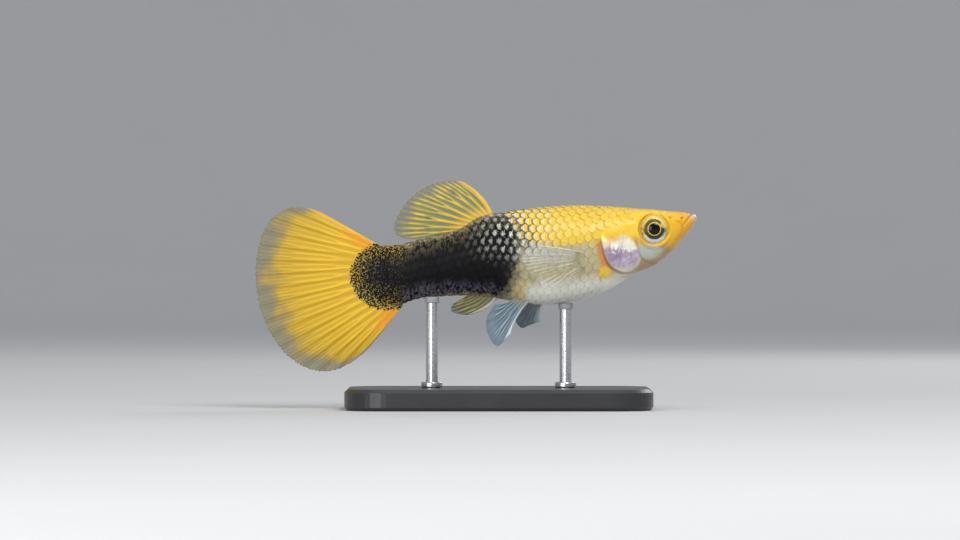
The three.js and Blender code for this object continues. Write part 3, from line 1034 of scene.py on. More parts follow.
@dataclass(frozen=True)
class BodyFinish:
    """The wet skin of the fish, bare or on its scales, with the same markings on both."""

    name: str
    scaled: bool
    colours: BodyColours = BodyColours()
    patches: BodyPatches = BodyPatches()

    def _belly(self, s: Shade, x: Value, z: Value, ragged: Value) -> Value:
        """Colour the flank and belly below the gold.

        Args:
            s: The material.
            x: X in the fish's frame.
            z: Z in the fish's frame.
            ragged: Noise that frays the edges, round 0.

        Returns:
            The colour.
        """
        c, patches = self.colours, self.patches
        bars = s.noise(0.55, 3.0, (0.8, 1.0, 4.0)).step(0.48, 0.7) * x.step(14.0, 11.0) * z.step(9.5, 11.5)
        base = s.blend(c.cream, c.bar, bars * 0.5)
        rows = s.noise(0.5, 2.0, (3.0, 1.0, 0.8)).step(0.4, 0.65)
        sheen = patches.sheen.share(x + ragged * 1.5, z + ragged * 1.5)
        base = s.blend(base, c.sheen, sheen * (0.25 + 0.6 * rows))
        low = z - x * 0.12
        belly = (low + ragged).step(10.5, 8.5) * x.step(4.5, 6.5) * x.step(20.0, 18.0)
        base = s.blend(base, c.white, belly)
        return s.blend(base, c.gold, patches.vent.share(x + ragged * 1.2, z) * 0.3)

    def _head(self, s: Shade, base: Value, x: Value, z: Value) -> Value:
        """Colour the cheek, jaw, gill cover and throat.

        Args:
            s: The material.
            base: The colour so far.
            x: X in the fish's frame.
            z: Z in the fish's frame.

        Returns:
            The colour with the head's markings.
        """
        c, patches = self.colours, self.patches
        cloud, fine, speck = s.noise(1.1, 3.0), s.noise(0.5, 3.0), s.noise(0.28, 3.0)
        base = s.blend(base, c.beige, x.step(17.5, 19.5) * 0.9)
        base = s.blend(base, c.silver, patches.cheek.share(x, z) * (0.4 + 0.8 * fine))
        base = s.blend(base, c.orange, patches.chin.share(x, z) * 0.6)
        gill = s.attribute("gill")
        plate = gill.step(-0.1, 0.25)
        base = s.blend(base, c.pearl, plate)
        paler = (x - 17.0) * 0.3 - (z - 13.6) * 0.3 + (fine - 0.5) * 3.0
        violet = s.blend(c.lilac, c.pale_lilac, paler.step(-0.5, 0.9))
        lilac = patches.lilac.share(x + (cloud - 0.5) * 1.6, z + (fine - 0.5) * 1.2)
        base = s.blend(base, violet, lilac * plate * (0.6 + 0.5 * cloud))
        jagged = (x + (fine - 0.5) * 2.2, z + (speck - 0.5) * 2.0)
        glints = patches.low_glint.share(*jagged).most(patches.front_glint.share(*jagged))
        glints = glints.most(patches.high_glint.share(*jagged) * 0.6)
        base = s.blend(base, c.white, glints * (0.7 + 0.5 * speck))
        behind = (gill + (fine - 0.5) * 0.7).step(-1.05, -0.45) * gill.step(0.12, -0.12)
        streak = behind * (z + (cloud - 0.5) * 2.0).step(16.9, 15.9) * z.step(11.8, 12.8) * x.step(16.5, 15.7)
        base = s.blend(base, c.rust, streak * (0.45 + 0.7 * cloud))
        spot = patches.gill_spot.share(x + (cloud - 0.5) * 2.0, z + (fine - 0.5) * 1.6)
        return s.blend(base, s.blend(c.orange, c.gold, spot.step(0.4, 0.9)), spot * 0.95)

    def _gold(self, s: Shade, base: Value, x: Value, ragged: Value) -> Value:
        """Colour the gold of the back and head.

        Args:
            s: The material.
            base: The colour so far.
            x: X in the fish's frame.
            ragged: Noise that frays the edges, round 0.

        Returns:
            The colour with the gold over it.
        """
        c = self.colours
        above = s.attribute("gold")
        broad, glitter = s.noise(3.5, 2.0), s.noise(0.42, 3.0, (1.0, 1.0, 1.3))
        deep = s.blend(c.gold, c.amber, (x + ragged * 2.0).step(21.0, 25.0) * 0.75)
        deep = s.blend(deep, c.amber, broad.step(0.5, 0.75) * 0.25)
        deep = s.blend(deep, c.pale_gold, glitter.step(0.52, 0.66) * x.step(22.5, 19.0) * 0.26)
        deep = s.blend(deep, c.amber, glitter.step(0.44, 0.32) * (0.2 + 0.3 * above.step(3.0, 0.5)))
        cheek = x.step(14.0, 15.2) * x.step(20.8, 19.4)
        return s.blend(base, deep, (above + ragged * (0.9 + 1.6 * cheek)).step(-0.5, 0.6))

    def _hind(self, s: Shade, base: Value, x: Value, z: Value, ragged: Value) -> Value:
        """Colour the black hind body, the painted highlight along its back, its paler keel, and the speckled
        tail root.

        Args:
            s: The material.
            base: The colour so far.
            x: X in the fish's frame.
            z: Z in the fish's frame.
            ragged: Noise that frays the edges, round 0.

        Returns:
            The colour with the hind body's markings.
        """
        c = self.colours
        keel = s.attribute("keel")
        streaks = s.noise(0.36, 3.0, (0.7, 1.0, 1.5))
        black = (s.attribute("dark") + ragged * 2.0).step(-1.1, 0.6)
        base = s.blend(base, c.black, black)
        under = (keel + ragged * 2.0).step(2.3, 0.2) * black
        base = s.blend(base, c.violet, under * streaks.step(0.38, 0.62))
        lowest = (keel + ragged * 0.6).step(0.6, 0.1) * black
        base = s.blend(base, c.drab, lowest * x.step(-6.5, -2.0) * (0.3 + 0.6 * streaks.step(0.35, 0.6)))
        ridge = s.attribute("ridge") + ragged * 1.2
        base = s.blend(base, c.fleck, ridge.step(2.6, 0.5) * black * streaks.step(0.42, 0.58))
        # Painted highlight along the top edge of the black back
        base = s.blend(base, c.drab, ridge.step(0.75, 0.05) * black * (0.3 + 0.6 * streaks.step(0.38, 0.58)))
        beyond = s.blend(c.drab, ROOT_PATTERN.gold, x.step(-10.0, -12.0))
        return s.blend(base, ROOT_PATTERN.over(s, beyond, x, z), (x + ragged * 2.0).step(-7.4, -9.6))

    def _scales(self, s: Shade, base: Value, x: Value, z: Value, silver: Value) -> tuple[Value, Value]:
        """Draw the scales' dark outlines and bright middles; the middles are silver scale colour and painted
        highlight both.

        Args:
            s: The material.
            base: The markings' colour.
            x: X in the fish's frame.
            z: Z in the fish's frame.
            silver: The area where silver scales show over the black.

        Returns:
            The colour, and how much more metallic the scales are.
        """
        c = self.colours
        tone, dark = s.attribute("tone"), s.attribute("dark")
        light = dark.step(1.0, -0.5)
        grain = s.noise(0.17, 2.0, (0.8, 1.0, 1.6)) - 0.5
        fleck = (s.attribute("fleck") + grain * 2.0).step(0.0, 0.65)
        outline = (s.attribute("edge") + dark.step(-3.5, 0.2) * 0.3).step(0.86, 1.0)
        strong = x.step(11.5, 6.0) * z.step(13.0, 15.5) * 0.65 + 0.28
        base = s.blend(base, c.outline, outline * strong * light)
        # The bright middles over the black: silver scale colour with a painted highlight on each scale
        base = s.blend(base, c.silver_scale_highlight, fleck * silver * x.step(-3.5, 5.5) * (0.4 + 0.6 * tone))
        faint = fleck * z.step(11.5, 16.5) * x.step(3.0, -2.0) * x.step(-9.5, -7.0)
        base = s.blend(base, c.fleck, faint * tone * 0.45)
        # Paler scales in the gold and cream: random tone, and a painted highlight on each scale's middle
        base = s.blend(base, c.pearl, (fleck * 0.07 + tone * 0.04) * light)
        return base, fleck * silver * 0.4

    def material(self) -> bpy.types.Material:
        """Wire the finish.

        Returns:
            The material.
        """
        c, patches = self.colours, self.patches
        s = Shade(self.name)
        x, z = s.position()
        ragged = s.noise(0.9, 3.0) - 0.5
        base = self._head(s, self._belly(s, x, z, ragged), x, z)
        base = self._hind(s, self._gold(s, base, x, ragged), x, z, ragged)
        shine = s.attribute("gill").step(0.0, 0.4)
        if self.scaled:
            silver = patches.silver.share(x + ragged, z + ragged * 2.0)
            base, more = self._scales(s, base, x, z, silver)
            shine = shine + more
        base = s.blend(base, c.lip, s.attribute("lip") * 0.35 * x.step(24.3, 25.3))
        base = s.blend(base, c.lip, patches.snout.share(x, z) * 0.8)
        # Painted shade in the head's grooves, pits, mouth cleft and under the gill cover's edge
        base = s.blend(base, c.crease, s.attribute("crease") * 0.6)
        grain = s.noise(0.22, 2.0)
        black = s.attribute("dark").step(0.0, 2.0)
        sockets = {
            "Base Color": base,
            "Roughness": (0.3 + 0.16 * grain) + black * 0.1,
            "Metallic": shine * 0.16,
            "Specular IOR Level": 0.1,
            "Subsurface Weight": 0.12,
            "Subsurface Radius": (1.0, 0.6, 0.3),
            "Subsurface Scale": 0.4 * MM,
            "Coat Weight": 0.36 - black * 0.34,
            "Coat Roughness": 0.16,
        }
        return s.finish(sockets, grain * 0.5 + s.spots(0.3) * 0.35, 0.02)


@dataclass(frozen=True)
class EyeFinish:
    """The iris in rings round a black pupil, under a clear wet front."""

    side: Side
    pupil: Colour = (0.002, 0.002, 0.002)
    gold_ring: Colour = (0.62, 0.42, 0.06)
    dark_ring: Colour = (0.035, 0.05, 0.035)
    olive_ring: Colour = (0.13, 0.092, 0.022)
    gold: Colour = (0.85, 0.68, 0.2)
    silver: Colour = (0.8, 0.85, 0.8)
    teal: Colour = (0.12, 0.26, 0.25)
    rim: Colour = (0.3, 0.16, 0.02)
    folds: float = 46.0
    ring_gap: tuple[float, float] = (1.05, 0.5)

    def material(self) -> bpy.types.Material:
        """Wire the finish.

        Returns:
            The material.
        """
        s = Shade(f"iris_{self.side.word}")
        x, z = s.position()
        dx, dz = x - EYE.x, z - EYE.z
        far = (dx * dx + dz * dz) ** 0.5
        wobble = (s.noise(0.35, 3.0) - 0.5) * 0.14
        turn = s.math("ARCTAN2", dz, dx)
        fine = s.math("SINE", turn * self.folds + s.noise(0.6) * 9.0) * 0.5 + 0.5
        blotch = s.noise(0.5, 3.0)
        outer = s.blend(self.silver, self.gold, (dz + (blotch - 0.5)).step(-0.95, -0.3))
        sides = abs(dz + 0.35).step(0.75, 0.15) * far.step(0.9, 1.3) * blotch.step(0.35, 0.6)
        outer = s.blend(outer, self.teal, sides * dx.step(-0.2, 0.6))
        outer = s.blend(outer, self.dark_ring, sides * dx.step(0.2, -0.6) * 0.8)
        outer = s.blend(outer, self.dark_ring, fine * 0.12)
        ring = s.blend(self.dark_ring, self.olive_ring, (blotch + dz * 0.2 - dx * 0.08).step(0.4, 0.62))
        gap_x, gap_z = dx - self.ring_gap[0], dz - self.ring_gap[1]
        ring = s.blend(ring, self.gold, (gap_x * gap_x + gap_z * gap_z).step(0.22, 0.05) * 0.75)
        base = s.blend(ring, outer, (far + wobble * 1.6).step(1.12, 1.32))
        base = s.blend(self.gold_ring, base, (far + wobble * 0.3).step(EYE.pupil + 0.08, EYE.pupil + 0.15))
        base = s.blend(self.pupil, base, far.step(EYE.pupil - 0.02, EYE.pupil + 0.03))
        base = s.blend(base, self.rim, (far + wobble).step(1.46, 1.66) * 0.5)
        iris = far.step(EYE.pupil, EYE.pupil + 0.1)
        sockets = {
            "Base Color": base,
            "Roughness": 0.12 + iris * 0.18,
            "Metallic": iris * far.step(1.66, 1.4) * 0.25,
            "Specular IOR Level": 0.12,
            "Coat Weight": 0.35,
            "Coat Roughness": 0.03,
        }
        return s.finish(sockets, fine * iris * 0.5, 0.02)


@dataclass(frozen=True)
class FinFinish:
    """A thin fin: rays over a clear web, in bands from its root to its margin."""

    name: str
    ray: Colour
    web: Colour
    root: Colour
    margin: Colour
    lead: Colour
    web_alpha: float = 0.9
    margin_alpha: float = 0.6
    ray_alpha: float = 1.0
    margin_from: float = 0.86
    margin_ragged: float = 0.2
    blotch: float = 0.0
    blotch_colour: Colour = (0.12, 0.12, 0.05)
    lead_width: float = 0.06
    speckled: bool = False
    uneven: bool = False
    rays_from: float = 0.0
    dusk: Colour = (0.4, 0.27, 0.03)
    dusk_share: float = 0.0
    corner_root: float = 0.0
    ray_joints: float = 260.0

    def _colour(self, s: Shade, ray: Value, streak: Value, edge: Value, lead: Value) -> Value:
        """Colour the web, rays, root, margin and leading edge.

        Args:
            s: The material.
            ray: 1 on a ray.
            streak: Noise that runs along the rays.
            edge: 1 in the margin.
            lead: 1 on the leading edge.

        Returns:
            The colour.
        """
        across, out = s.attribute("across"), s.attribute("out")
        base = s.blend(self.web, self.ray, ray * (0.25 + 0.75 * streak.step(0.32, 0.6)))
        if self.blotch:
            spots = streak.step(0.5, 0.62) * s.noise(1.6, 2.0).step(0.4, 0.6)
            base = s.blend(base, self.blotch_colour, spots * self.blotch * out.step(0.15, 0.4))
        if self.dusk_share:
            dusk = out.step(0.4, 0.92) * (0.5 + streak.step(0.35, 0.65) * 0.5)
            base = s.blend(base, self.dusk, dusk * self.dusk_share)
        near = out
        if self.corner_root:
            near = out - abs(across - 0.5).step(0.32, 0.5) * self.corner_root
        base = s.blend(base, self.root, near.step(0.32, 0.0) * 0.8)
        base = s.blend(base, self.margin, edge * (1 - ray * 0.2))
        base = s.blend(base, self.lead, lead * 0.9)
        if self.speckled:
            base = ROOT_PATTERN.over(s, base, *s.position())
        return base

    def _alpha(self, shown: Value, out: Value, edge: Value, lead: Value) -> Value:
        """How much of the fin is seen, from its solid root to its clear margin.

        Args:
            shown: 1 on a ray that shows.
            out: Place from the root to the margin.
            edge: 1 in the margin.
            lead: 1 on the leading edge.

        Returns:
            From 0, clear, to 1.
        """
        alpha = self.web_alpha + (self.ray_alpha - self.web_alpha) * shown
        alpha = alpha + (self.margin_alpha - alpha) * edge
        solid = (out.step(0.22, 0.02) + lead).least(1.0)
        return alpha + (1.0 - alpha) * solid

    def material(self) -> bpy.types.Material:
        """Wire the finish.

        Returns:
            The material.
        """
        s = Shade(self.name)
        across, out, crest = s.attribute("across"), s.attribute("out"), s.attribute("crest")
        streak = s.streaks(across, out, (34.0, 2.2), 0.0, 3.0)
        fine = s.noise(0.25, 3.0)
        ray = crest.step(0.2, 0.75)
        if self.rays_from:
            ray = ray * out.step(0.04, self.rays_from)
        patch = s.noise(3.2, 2.0) - 0.5
        frayed = out + ((streak - 0.5) * 0.6 + patch) * self.margin_ragged
        edge = frayed.step(self.margin_from - 0.06, self.margin_from + 0.14)
        lead = across.step(self.lead_width, self.lead_width * 0.3)
        shown = ray
        if self.uneven:
            shown = ray * s.streaks(across, out, (9.0, 0.8), 3.0, 2.0).step(0.42, 0.62)
        joints = s.math("SINE", out * self.ray_joints) * 0.5 + 0.5
        sockets = {
            "Base Color": self._colour(s, ray, streak, edge, lead),
            "Roughness": 0.4 + fine * 0.2,
            "Alpha": self._alpha(shown, out, edge, lead),
            "Specular IOR Level": 0.25,
            "Subsurface Weight": 0.1,
            "Subsurface Radius": (1.0, 0.7, 0.3),
            "Subsurface Scale": 0.3 * MM,
            "Coat Weight": 0.1,
            "Coat Roughness": 0.25,
        }
        return s.finish(sockets, joints * ray * 0.6 + fine * 0.4, 0.02)


class StandFinish(Enum):
    """The finishes of the display stand, each with its colour, roughness, metal and coat."""

    BASE = ("satin_black_base", (0.018, 0.018, 0.02), 0.38, 0.0, 0.3)
    ROD = ("brushed_steel_rod", (0.56, 0.57, 0.58), 0.26, 1.0, 0.0)
    PAD = ("clear_soft_pad", (0.3, 0.3, 0.31), 0.5, 0.0, 0.0)

    def material(self) -> bpy.types.Material:
        """Wire the finish.

        Returns:
            The material.
        """
        name, colour, rough, metal, coat = self.value
        s = Shade(name)
        grain = s.noise(0.4, 4.0, (1, 1, 0.15) if metal else (1, 1, 1))
        pale = tuple(c * 1.5 + 0.01 for c in colour)
        base = s.blend(colour, pale, s.noise(6.0, 3.0).step(0.4, 0.8) * 0.4)
        sockets = {
            "Base Color": base,
            "Roughness": rough + (grain - 0.5) * 0.18,
            "Metallic": metal,
            "Coat Weight": coat,
            "Coat Roughness": 0.2,
        }
        return s.finish(sockets, grain, 0.012)


# Making pieces


def deselect() -> None:
    """Leave nothing selected."""
    bpy.ops.object.select_all(action="DESELECT")


def choose(piece: bpy.types.Object) -> None:
    """Leave only one piece selected.

    Args:
        piece: The piece.
    """
    deselect()
    bpy.context.view_layer.objects.active = piece
    piece.select_set(True)


def add_object(name: str, data: bpy.types.ID) -> bpy.types.Object:
    """Put a mesh, light or camera into the scene.

    Args:
        name: The object's name.
        data: The mesh, light or camera.

    Returns:
        The object.
    """
    made = bpy.data.objects.new(name, data)
    bpy.context.scene.collection.objects.link(made)
    return made


def to_scene(points: Array) -> Array:
    """Turn millimetres of the fish's frame into the scene's metres."""
    return (points + np.array([0, 0, TAIL_CLEARANCE])) * MM


def corners_of(piece: bpy.types.Object) -> Array:
    """A mesh's points as one array.

    Args:
        piece: The piece.

    Returns:
        One row for each point.
    """
    flat = np.empty(3 * len(piece.data.vertices), np.float32)
    piece.data.vertices.foreach_get("co", flat)
    return flat.reshape(-1, 3).astype(float)


def set_corners(piece: bpy.types.Object, points: Array) -> None:
    """Move a mesh's points."""
    piece.data.vertices.foreach_set("co", points.astype(np.float32).ravel())
    piece.data.update()


def set_number(piece: bpy.types.Object, name: str, values: Array) -> None:
    """Give each point of a mesh a number that its finish reads."""
    made = piece.data.attributes.new(name, "FLOAT", "POINT")
    made.data.foreach_set("value", values.astype(np.float32))


def sphere(name: str, segments: int, rings: int) -> bpy.types.Object:
    """Add the sphere of radius 1 that a piece is shaped from.

    Args:
        name: The piece's name.
        segments: How many faces go round it.
        rings: How many rings of faces it has.

    Returns:
        The piece.
    """
    deselect()
    bpy.ops.mesh.primitive_uv_sphere_add(segments=segments, ring_count=rings, radius=1.0)
    piece = bpy.context.active_object
    piece.name = name
    return piece


def smooth(piece: bpy.types.Object, angle: float | None = None) -> None:
    """Shade a piece smooth, and with an angle keep the edges sharper than it.

    Args:
        piece: The piece.
        angle: The angle in degrees.
    """
    choose(piece)
    if angle is None:
        bpy.ops.object.shade_smooth()
    else:
        bpy.ops.object.shade_smooth_by_angle(angle=math.radians(angle))
    deselect()


def close(piece: bpy.types.Object, angle: float | None = None) -> None:
    """Turn all faces of a closed mesh outwards and shade it smooth.

    Args:
        piece: The piece.
        angle: The angle in degrees above which an edge stays sharp.
    """
    choose(piece)
    bpy.ops.object.mode_set(mode="EDIT")
    bpy.ops.mesh.select_all(action="SELECT")
    bpy.ops.mesh.normals_make_consistent(inside=False)
    bpy.ops.object.mode_set(mode="OBJECT")
    smooth(piece, angle)


def dress(
    piece: bpy.types.Object, material: bpy.types.Material, nodes: tuple[str, ...] = ()
) -> None:
    """Give a piece its finish and tie it to the frame.

    Args:
        piece: The finished piece.
        material: Its finish.
        nodes: The solid nodes that it stands for.
    """
    piece.data.materials.clear()
    piece.data.materials.append(material)
    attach(piece, "root")
    if nodes:
        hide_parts(*nodes)
    log.info("%s: %d faces", piece.name, len(piece.data.polygons))


@dataclass
class Skin:
    """One skin over the head, body and tail root, with the folds of the head in it."""

    around: int = 200
    along: int = 440
    head_from: float = 13.2
    head_share: float = 0.56
    crowding: float = 1.35
    tongue_part: int = 5
    tongue_tip: float = 0.9995
    under_solids: float = 0.02
    scale_bed: float = 0.13
    bare_from: float = 15.4
    bed_fade: float = 1.6
    tongue_fade: tuple[float, float] = (-0.6, 0.8)

    def _lengths(self) -> Array:
        """Set out the inner rings, close together on the head and round the tongue's tip.

        Returns:
            The rings' X from the tail's tongue to the snout.
        """
        inner = self.along - 1
        head = int(inner * self.head_share)
        tongue_rings = (inner - head) // self.tongue_part
        t = TRUNK.tongue
        turn = np.linspace(math.pi / 2, 0, tongue_rings + 1)[:-1]
        tongue = t.start - (t.start - t.end) * np.sin(turn) * self.tongue_tip
        body = np.linspace(t.start, self.head_from, inner - head - tongue_rings + 1)[:-1]
        share = (np.arange(head) + 1) / (head + 1)
        front = self.head_from + (TRUNK.snout - self.head_from) * (1 - (1 - share) ** self.crowding)
        return np.concatenate([tongue, body, front])

    def _bed(self, x: Array) -> Array:
        """How deep the skin lies under the scales, which the head and the tongue don't need.

        Args:
            x: Places along the trunk.

        Returns:
            Millimetres inwards.
        """
        start = TRUNK.tongue.start
        bed = self.scale_bed * smoothstep(x, self.bare_from, self.bare_from - self.bed_fade)
        return bed * smoothstep(x, start + self.tongue_fade[0], start + self.tongue_fade[1])

    def build(self) -> bpy.types.Object:
        """Make the skin from a sphere whose rings are laid on the trunk's sections.

        Returns:
            The piece.
        """
        piece = sphere("skin", self.around, self.along)
        start = corners_of(piece)
        ring = np.rint(np.arccos(np.clip(start[:, 2], -1, 1)) / math.pi * self.along).astype(int)
        turn = np.arctan2(start[:, 1], start[:, 0])
        x = np.concatenate([[TRUNK.tongue.end], self._lengths(), [TRUNK.snout]])[ring]
        points = TRUNK.point(x, turn)
        lift = RELIEF.lift(points) - self._bed(x) - self.under_solids
        points = points + TRUNK.normals(x, turn) * lift[:, None]
        poles = (ring == 0) | (ring == self.along)
        points[poles] = TRUNK.point(x[poles], np.zeros(poles.sum()))
        points = RELIEF.seat_eye(points)
        for name, values in MARKINGS.fields(points).items():
            set_number(piece, name, values)
        set_corners(piece, to_scene(points))
        close(piece)
        finish = BodyFinish("wet_skin", scaled=False)
        dress(piece, finish.material(), ("head", "torso", "tail"))
        return piece


@dataclass
class ScaleCoat:
    """The overlapping scales of one side, in level rows along the flank."""

    side: Side
    finish: bpy.types.Material
    pitch: float = 0.94
    length: float = 1.5
    width: float = 1.42
    root_width: float = 0.86
    widening: float = 0.28
    narrowing: float = 0.24
    roundness: float = 0.42
    thickness: float = 0.026
    thinnest_share: float = 0.2
    root_depth: float = 0.11
    margin_rise: float = 0.01
    crown: float = 0.006
    tilt_spread: float = 0.25
    small_share: float = 0.25
    calm_share: float = 0.3
    last: float = -11.6
    foremost: float = 18.8
    rows: int = 12
    row_slack: float = 0.1
    nape: tuple[tuple[float, float], ...] = (
        (13.6, 0.0),
        (14.6, 17.3),
        (16.0, 17.6),
        (17.4, 18.0),
        (18.8, 18.7),
    )
    across: int = 6
    along: int = 6
    read_rings: int = 320
    read_angles: int = 401

    def _arcs(self) -> tuple[Array, Array, Array]:
        """Measure the trunk's girth, so that the rows of scales keep their pitch.

        Returns:
            The rings' X, the angles round them, and for each the arc length from the middle of the flank.
        """
        rings = np.linspace(TRUNK.tongue.end + 0.05, self.foremost + 2.0, self.read_rings)
        angles = np.linspace(-0.75 * math.pi, 0.75 * math.pi, self.read_angles)
        grid_x, grid_a = np.meshgrid(rings, angles, indexing="ij")
        points = TRUNK.point(grid_x.ravel(), grid_a.ravel()).reshape(*grid_x.shape, 3)
        steps = np.linalg.norm(np.diff(points[:, :, 1:], axis=1), axis=2)
        arcs = np.concatenate([np.zeros((len(rings), 1)), np.cumsum(steps, axis=1)], axis=1)
        return rings, angles, arcs - arcs[:, [self.read_angles // 2]]

    def _angle(self, x: Array, arc: Array, table: tuple[Array, Array, Array]) -> Array:
        """Turn arc lengths from the flank's middle into angles round the rings.

        Args:
            x: Places along the trunk.
            arc: The arc lengths.
            table: What `_arcs` measured.

        Returns:
            The angles.
        """
        rings, angles, arcs = table
        place = np.clip((x - rings[0]) / (rings[1] - rings[0]), 0, len(rings) - 1.001)
        low = place.astype(int)
        found = np.zeros(len(x))
        for i in np.unique(low):
            here = low == i
            a = np.interp(arc[here], arcs[i], angles)
            b = np.interp(arc[here], arcs[i + 1], angles)
            found[here] = mix(a, b, place[here] - i)
        return found

    def _roots(self, table: tuple[Array, Array, Array]) -> Array:
        """Set out the scales, every other row half a pitch further on.

        Args:
            table: What `_arcs` measured.

        Returns:
            The scales' X and arc lengths, row by row.
        """
        rings, angles, arcs = table
        top_at = np.abs(angles - math.pi / 2).argmin()
        low_at = np.abs(angles + math.pi / 2).argmin()
        places = []
        for row in range(-self.rows, self.rows + 1):
            x = self.last + 0.5 * self.pitch * (row % 2)
            arc = (row + 0.5) * self.pitch
            while x < self.foremost:
                ring = int(np.clip(np.searchsorted(rings, x), 0, len(rings) - 1))
                if arcs[ring, low_at] - self.row_slack < arc < arcs[ring, top_at] + self.row_slack:
                    places.append((x, arc))
                x += self.pitch
        return np.array(places)

    def _kept(self, x: Array, z: Array) -> Array:
        """Tell which scales are off the head's bare parts.

        Args:
            x: The scales' X.
            z: The scales' Z.

        Returns:
            Whether each scale is kept.
        """
        throat = (x > 13.4) & (x < 15.6) & (z < 11.4)
        return (x < 14.0) | (z > np.interp(x, *np.array(self.nape).T)) | throat

    def build(self) -> bpy.types.Object:
        """Lay every scale on the trunk as one mesh of closed plates.

        Returns:
            The piece.
        """
        table = self._arcs()
        places = self._roots(table)
        middle = TRUNK.point(places[:, 0], self._angle(places[:, 0], places[:, 1], table))
        kept = self._kept(places[:, 0], middle[:, 2])
        places, height = places[kept], middle[kept, 2]
        rng = np.random.default_rng(11 + self.side.value)
        tone = rng.random(len(places))
        tilt = 1 + self.tilt_spread * (rng.random(len(places)) - 0.5)
        tongue = TRUNK.tongue
        size = 1 - self.small_share * smoothstep(places[:, 0], tongue.start + 1.5, tongue.end + 1.0)
        s, t = np.meshgrid(np.linspace(-1, 1, self.across + 1), np.linspace(0, 1, self.along + 1))
        s, t = s.ravel(), t.ravel()
        half = 0.5 * self.width * (self.root_width + self.widening * t - self.narrowing * t**3)
        drop = t * (1 - self.roundness * s * s * t)
        x = (places[:, :1] + size[:, None] * self.length * (0.5 - drop)[None, :]).ravel()
        x = np.maximum(x, tongue.end + 0.1)
        arc = (places[:, 1:] + size[:, None] * (s * half)[None, :]).ravel()
        angle = self._angle(x, arc, table)
        surface, normal = TRUNK.point(x, angle), TRUNK.normals(x, angle)
        # The scales of the belly's front lie flatter
        calm = 1 - self.calm_share * smoothstep(height, 15.0, 12.0) * smoothstep(places[:, 0], 3.0, 7.0)
        rise = (self.root_depth + self.margin_rise) * t[None, :] * (tilt * calm)[:, None] - self.root_depth
        rise = (rise + self.crown * (1 - s * s)[None, :]).ravel()
        thin = np.minimum(self.thickness, self.thinnest_share * TRUNK.section(x)["half"])
        top = surface + normal * rise[:, None]
        under = surface + normal * (rise - thin)[:, None]
        return self._mesh(top, under, places, s, t, tone)

    def _faces(self) -> Array:
        """Join the points of one plate, its outer ones first and then its inner ones.

        Returns:
            The four corners of each face.
        """
        wide, long = self.across + 1, self.along + 1
        cell = np.arange(wide * long).reshape(long, wide)
        a, b = cell[:-1, :-1].ravel(), cell[:-1, 1:].ravel()
        c, d = cell[1:, 1:].ravel(), cell[1:, :-1].ravel()
        outer = np.stack([a, b, c, d], axis=1)
        inner = np.stack([a, d, c, b], axis=1) + wide * long
        rim = np.concatenate([cell[0, :], cell[1:, -1], cell[-1, -2::-1], cell[-2:0:-1, 0]])
        following = np.roll(rim, -1)
        wall = np.stack([following, rim, rim + wide * long, following + wide * long], axis=1)
        faces = np.concatenate([outer, inner, wall])
        return faces[:, ::-1] if self.side is Side.RIGHT else faces

    def _mesh(
        self, top: Array, under: Array, places: Array, s: Array, t: Array, tone: Array
    ) -> bpy.types.Object:
        """Join the plates into one piece.

        Args:
            top: The plates' outer points, plate by plate.
            under: The plates' inner points.
            places: The plates' X and arc length.
            s: Each point's place across its plate.
            t: Each point's place along its plate.
            tone: A number for each plate that varies its colour.

        Returns:
            The piece.
        """
        count, each = len(places), len(s)
        plates = np.concatenate([top.reshape(count, each, 3), under.reshape(count, each, 3)], axis=1)
        points = plates.reshape(-1, 3)
        points[:, 1] *= self.side.value
        faces = (self._faces()[None] + 2 * each * np.arange(count)[:, None, None]).reshape(-1, 4)
        mesh = bpy.data.meshes.new(f"scales_{self.side.word}")
        mesh.from_pydata(to_scene(points).tolist(), [], faces.tolist())
        piece = add_object(mesh.name, mesh)
        for name, values in MARKINGS.fields(points).items():
            if name in ("dark", "gold"):
                whole = values.reshape(count, -1).mean(axis=1)
                values = mix(values, np.repeat(whole, 2 * each), 0.7)
            set_number(piece, name, values)
        margin = np.maximum(t, np.abs(s) * smoothstep(t, 0.15, 0.6))
        set_number(piece, "edge", np.tile(margin, 2 * count))
        # Where each scale's bright middle lies, which the finish paints as silver and painted highlight
        fleck = 1 - np.hypot((t - 0.72 + 0.06 * s) / 0.22, s / 0.8)
        set_number(piece, "fleck", np.tile(fleck, 2 * count))
        set_number(piece, "tone", np.repeat(tone, 2 * each))
        self._bake_map(piece, places, s, t)
        close(piece, 50)
        dress(piece, self.finish)
        return piece

    def _bake_map(self, piece: bpy.types.Object, places: Array, s: Array, t: Array) -> None:
        """Give each scale a small patch of its own, at its root's place on the flattened flank.

        Args:
            piece: The mesh of plates.
            places: The plates' X and arc length.
            s: Each point's place across its plate.
            t: Each point's place along its plate.
        """
        patch, inside, girth = 0.003, 0.96, 40.0
        u = 0.5 * (1 - inside) + inside * (places[:, 0] - TRUNK.tongue.end) / (TRUNK.snout - TRUNK.tongue.end)
        v = 0.5 + inside * places[:, 1] / girth
        local = np.stack([patch * t, patch * 0.5 * s], axis=1)
        centres = np.stack([u, v], axis=1)
        uv = (centres[:, None, :] + np.concatenate([local, local])[None]).reshape(-1, 2)
        layer = piece.data.uv_layers.new(name="OFBake")
        loops = np.empty(len(piece.data.loops), np.int32)
        piece.data.loops.foreach_get("vertex_index", loops)
        layer.data.foreach_set("uv", uv[loops].astype(np.float32).ravel())


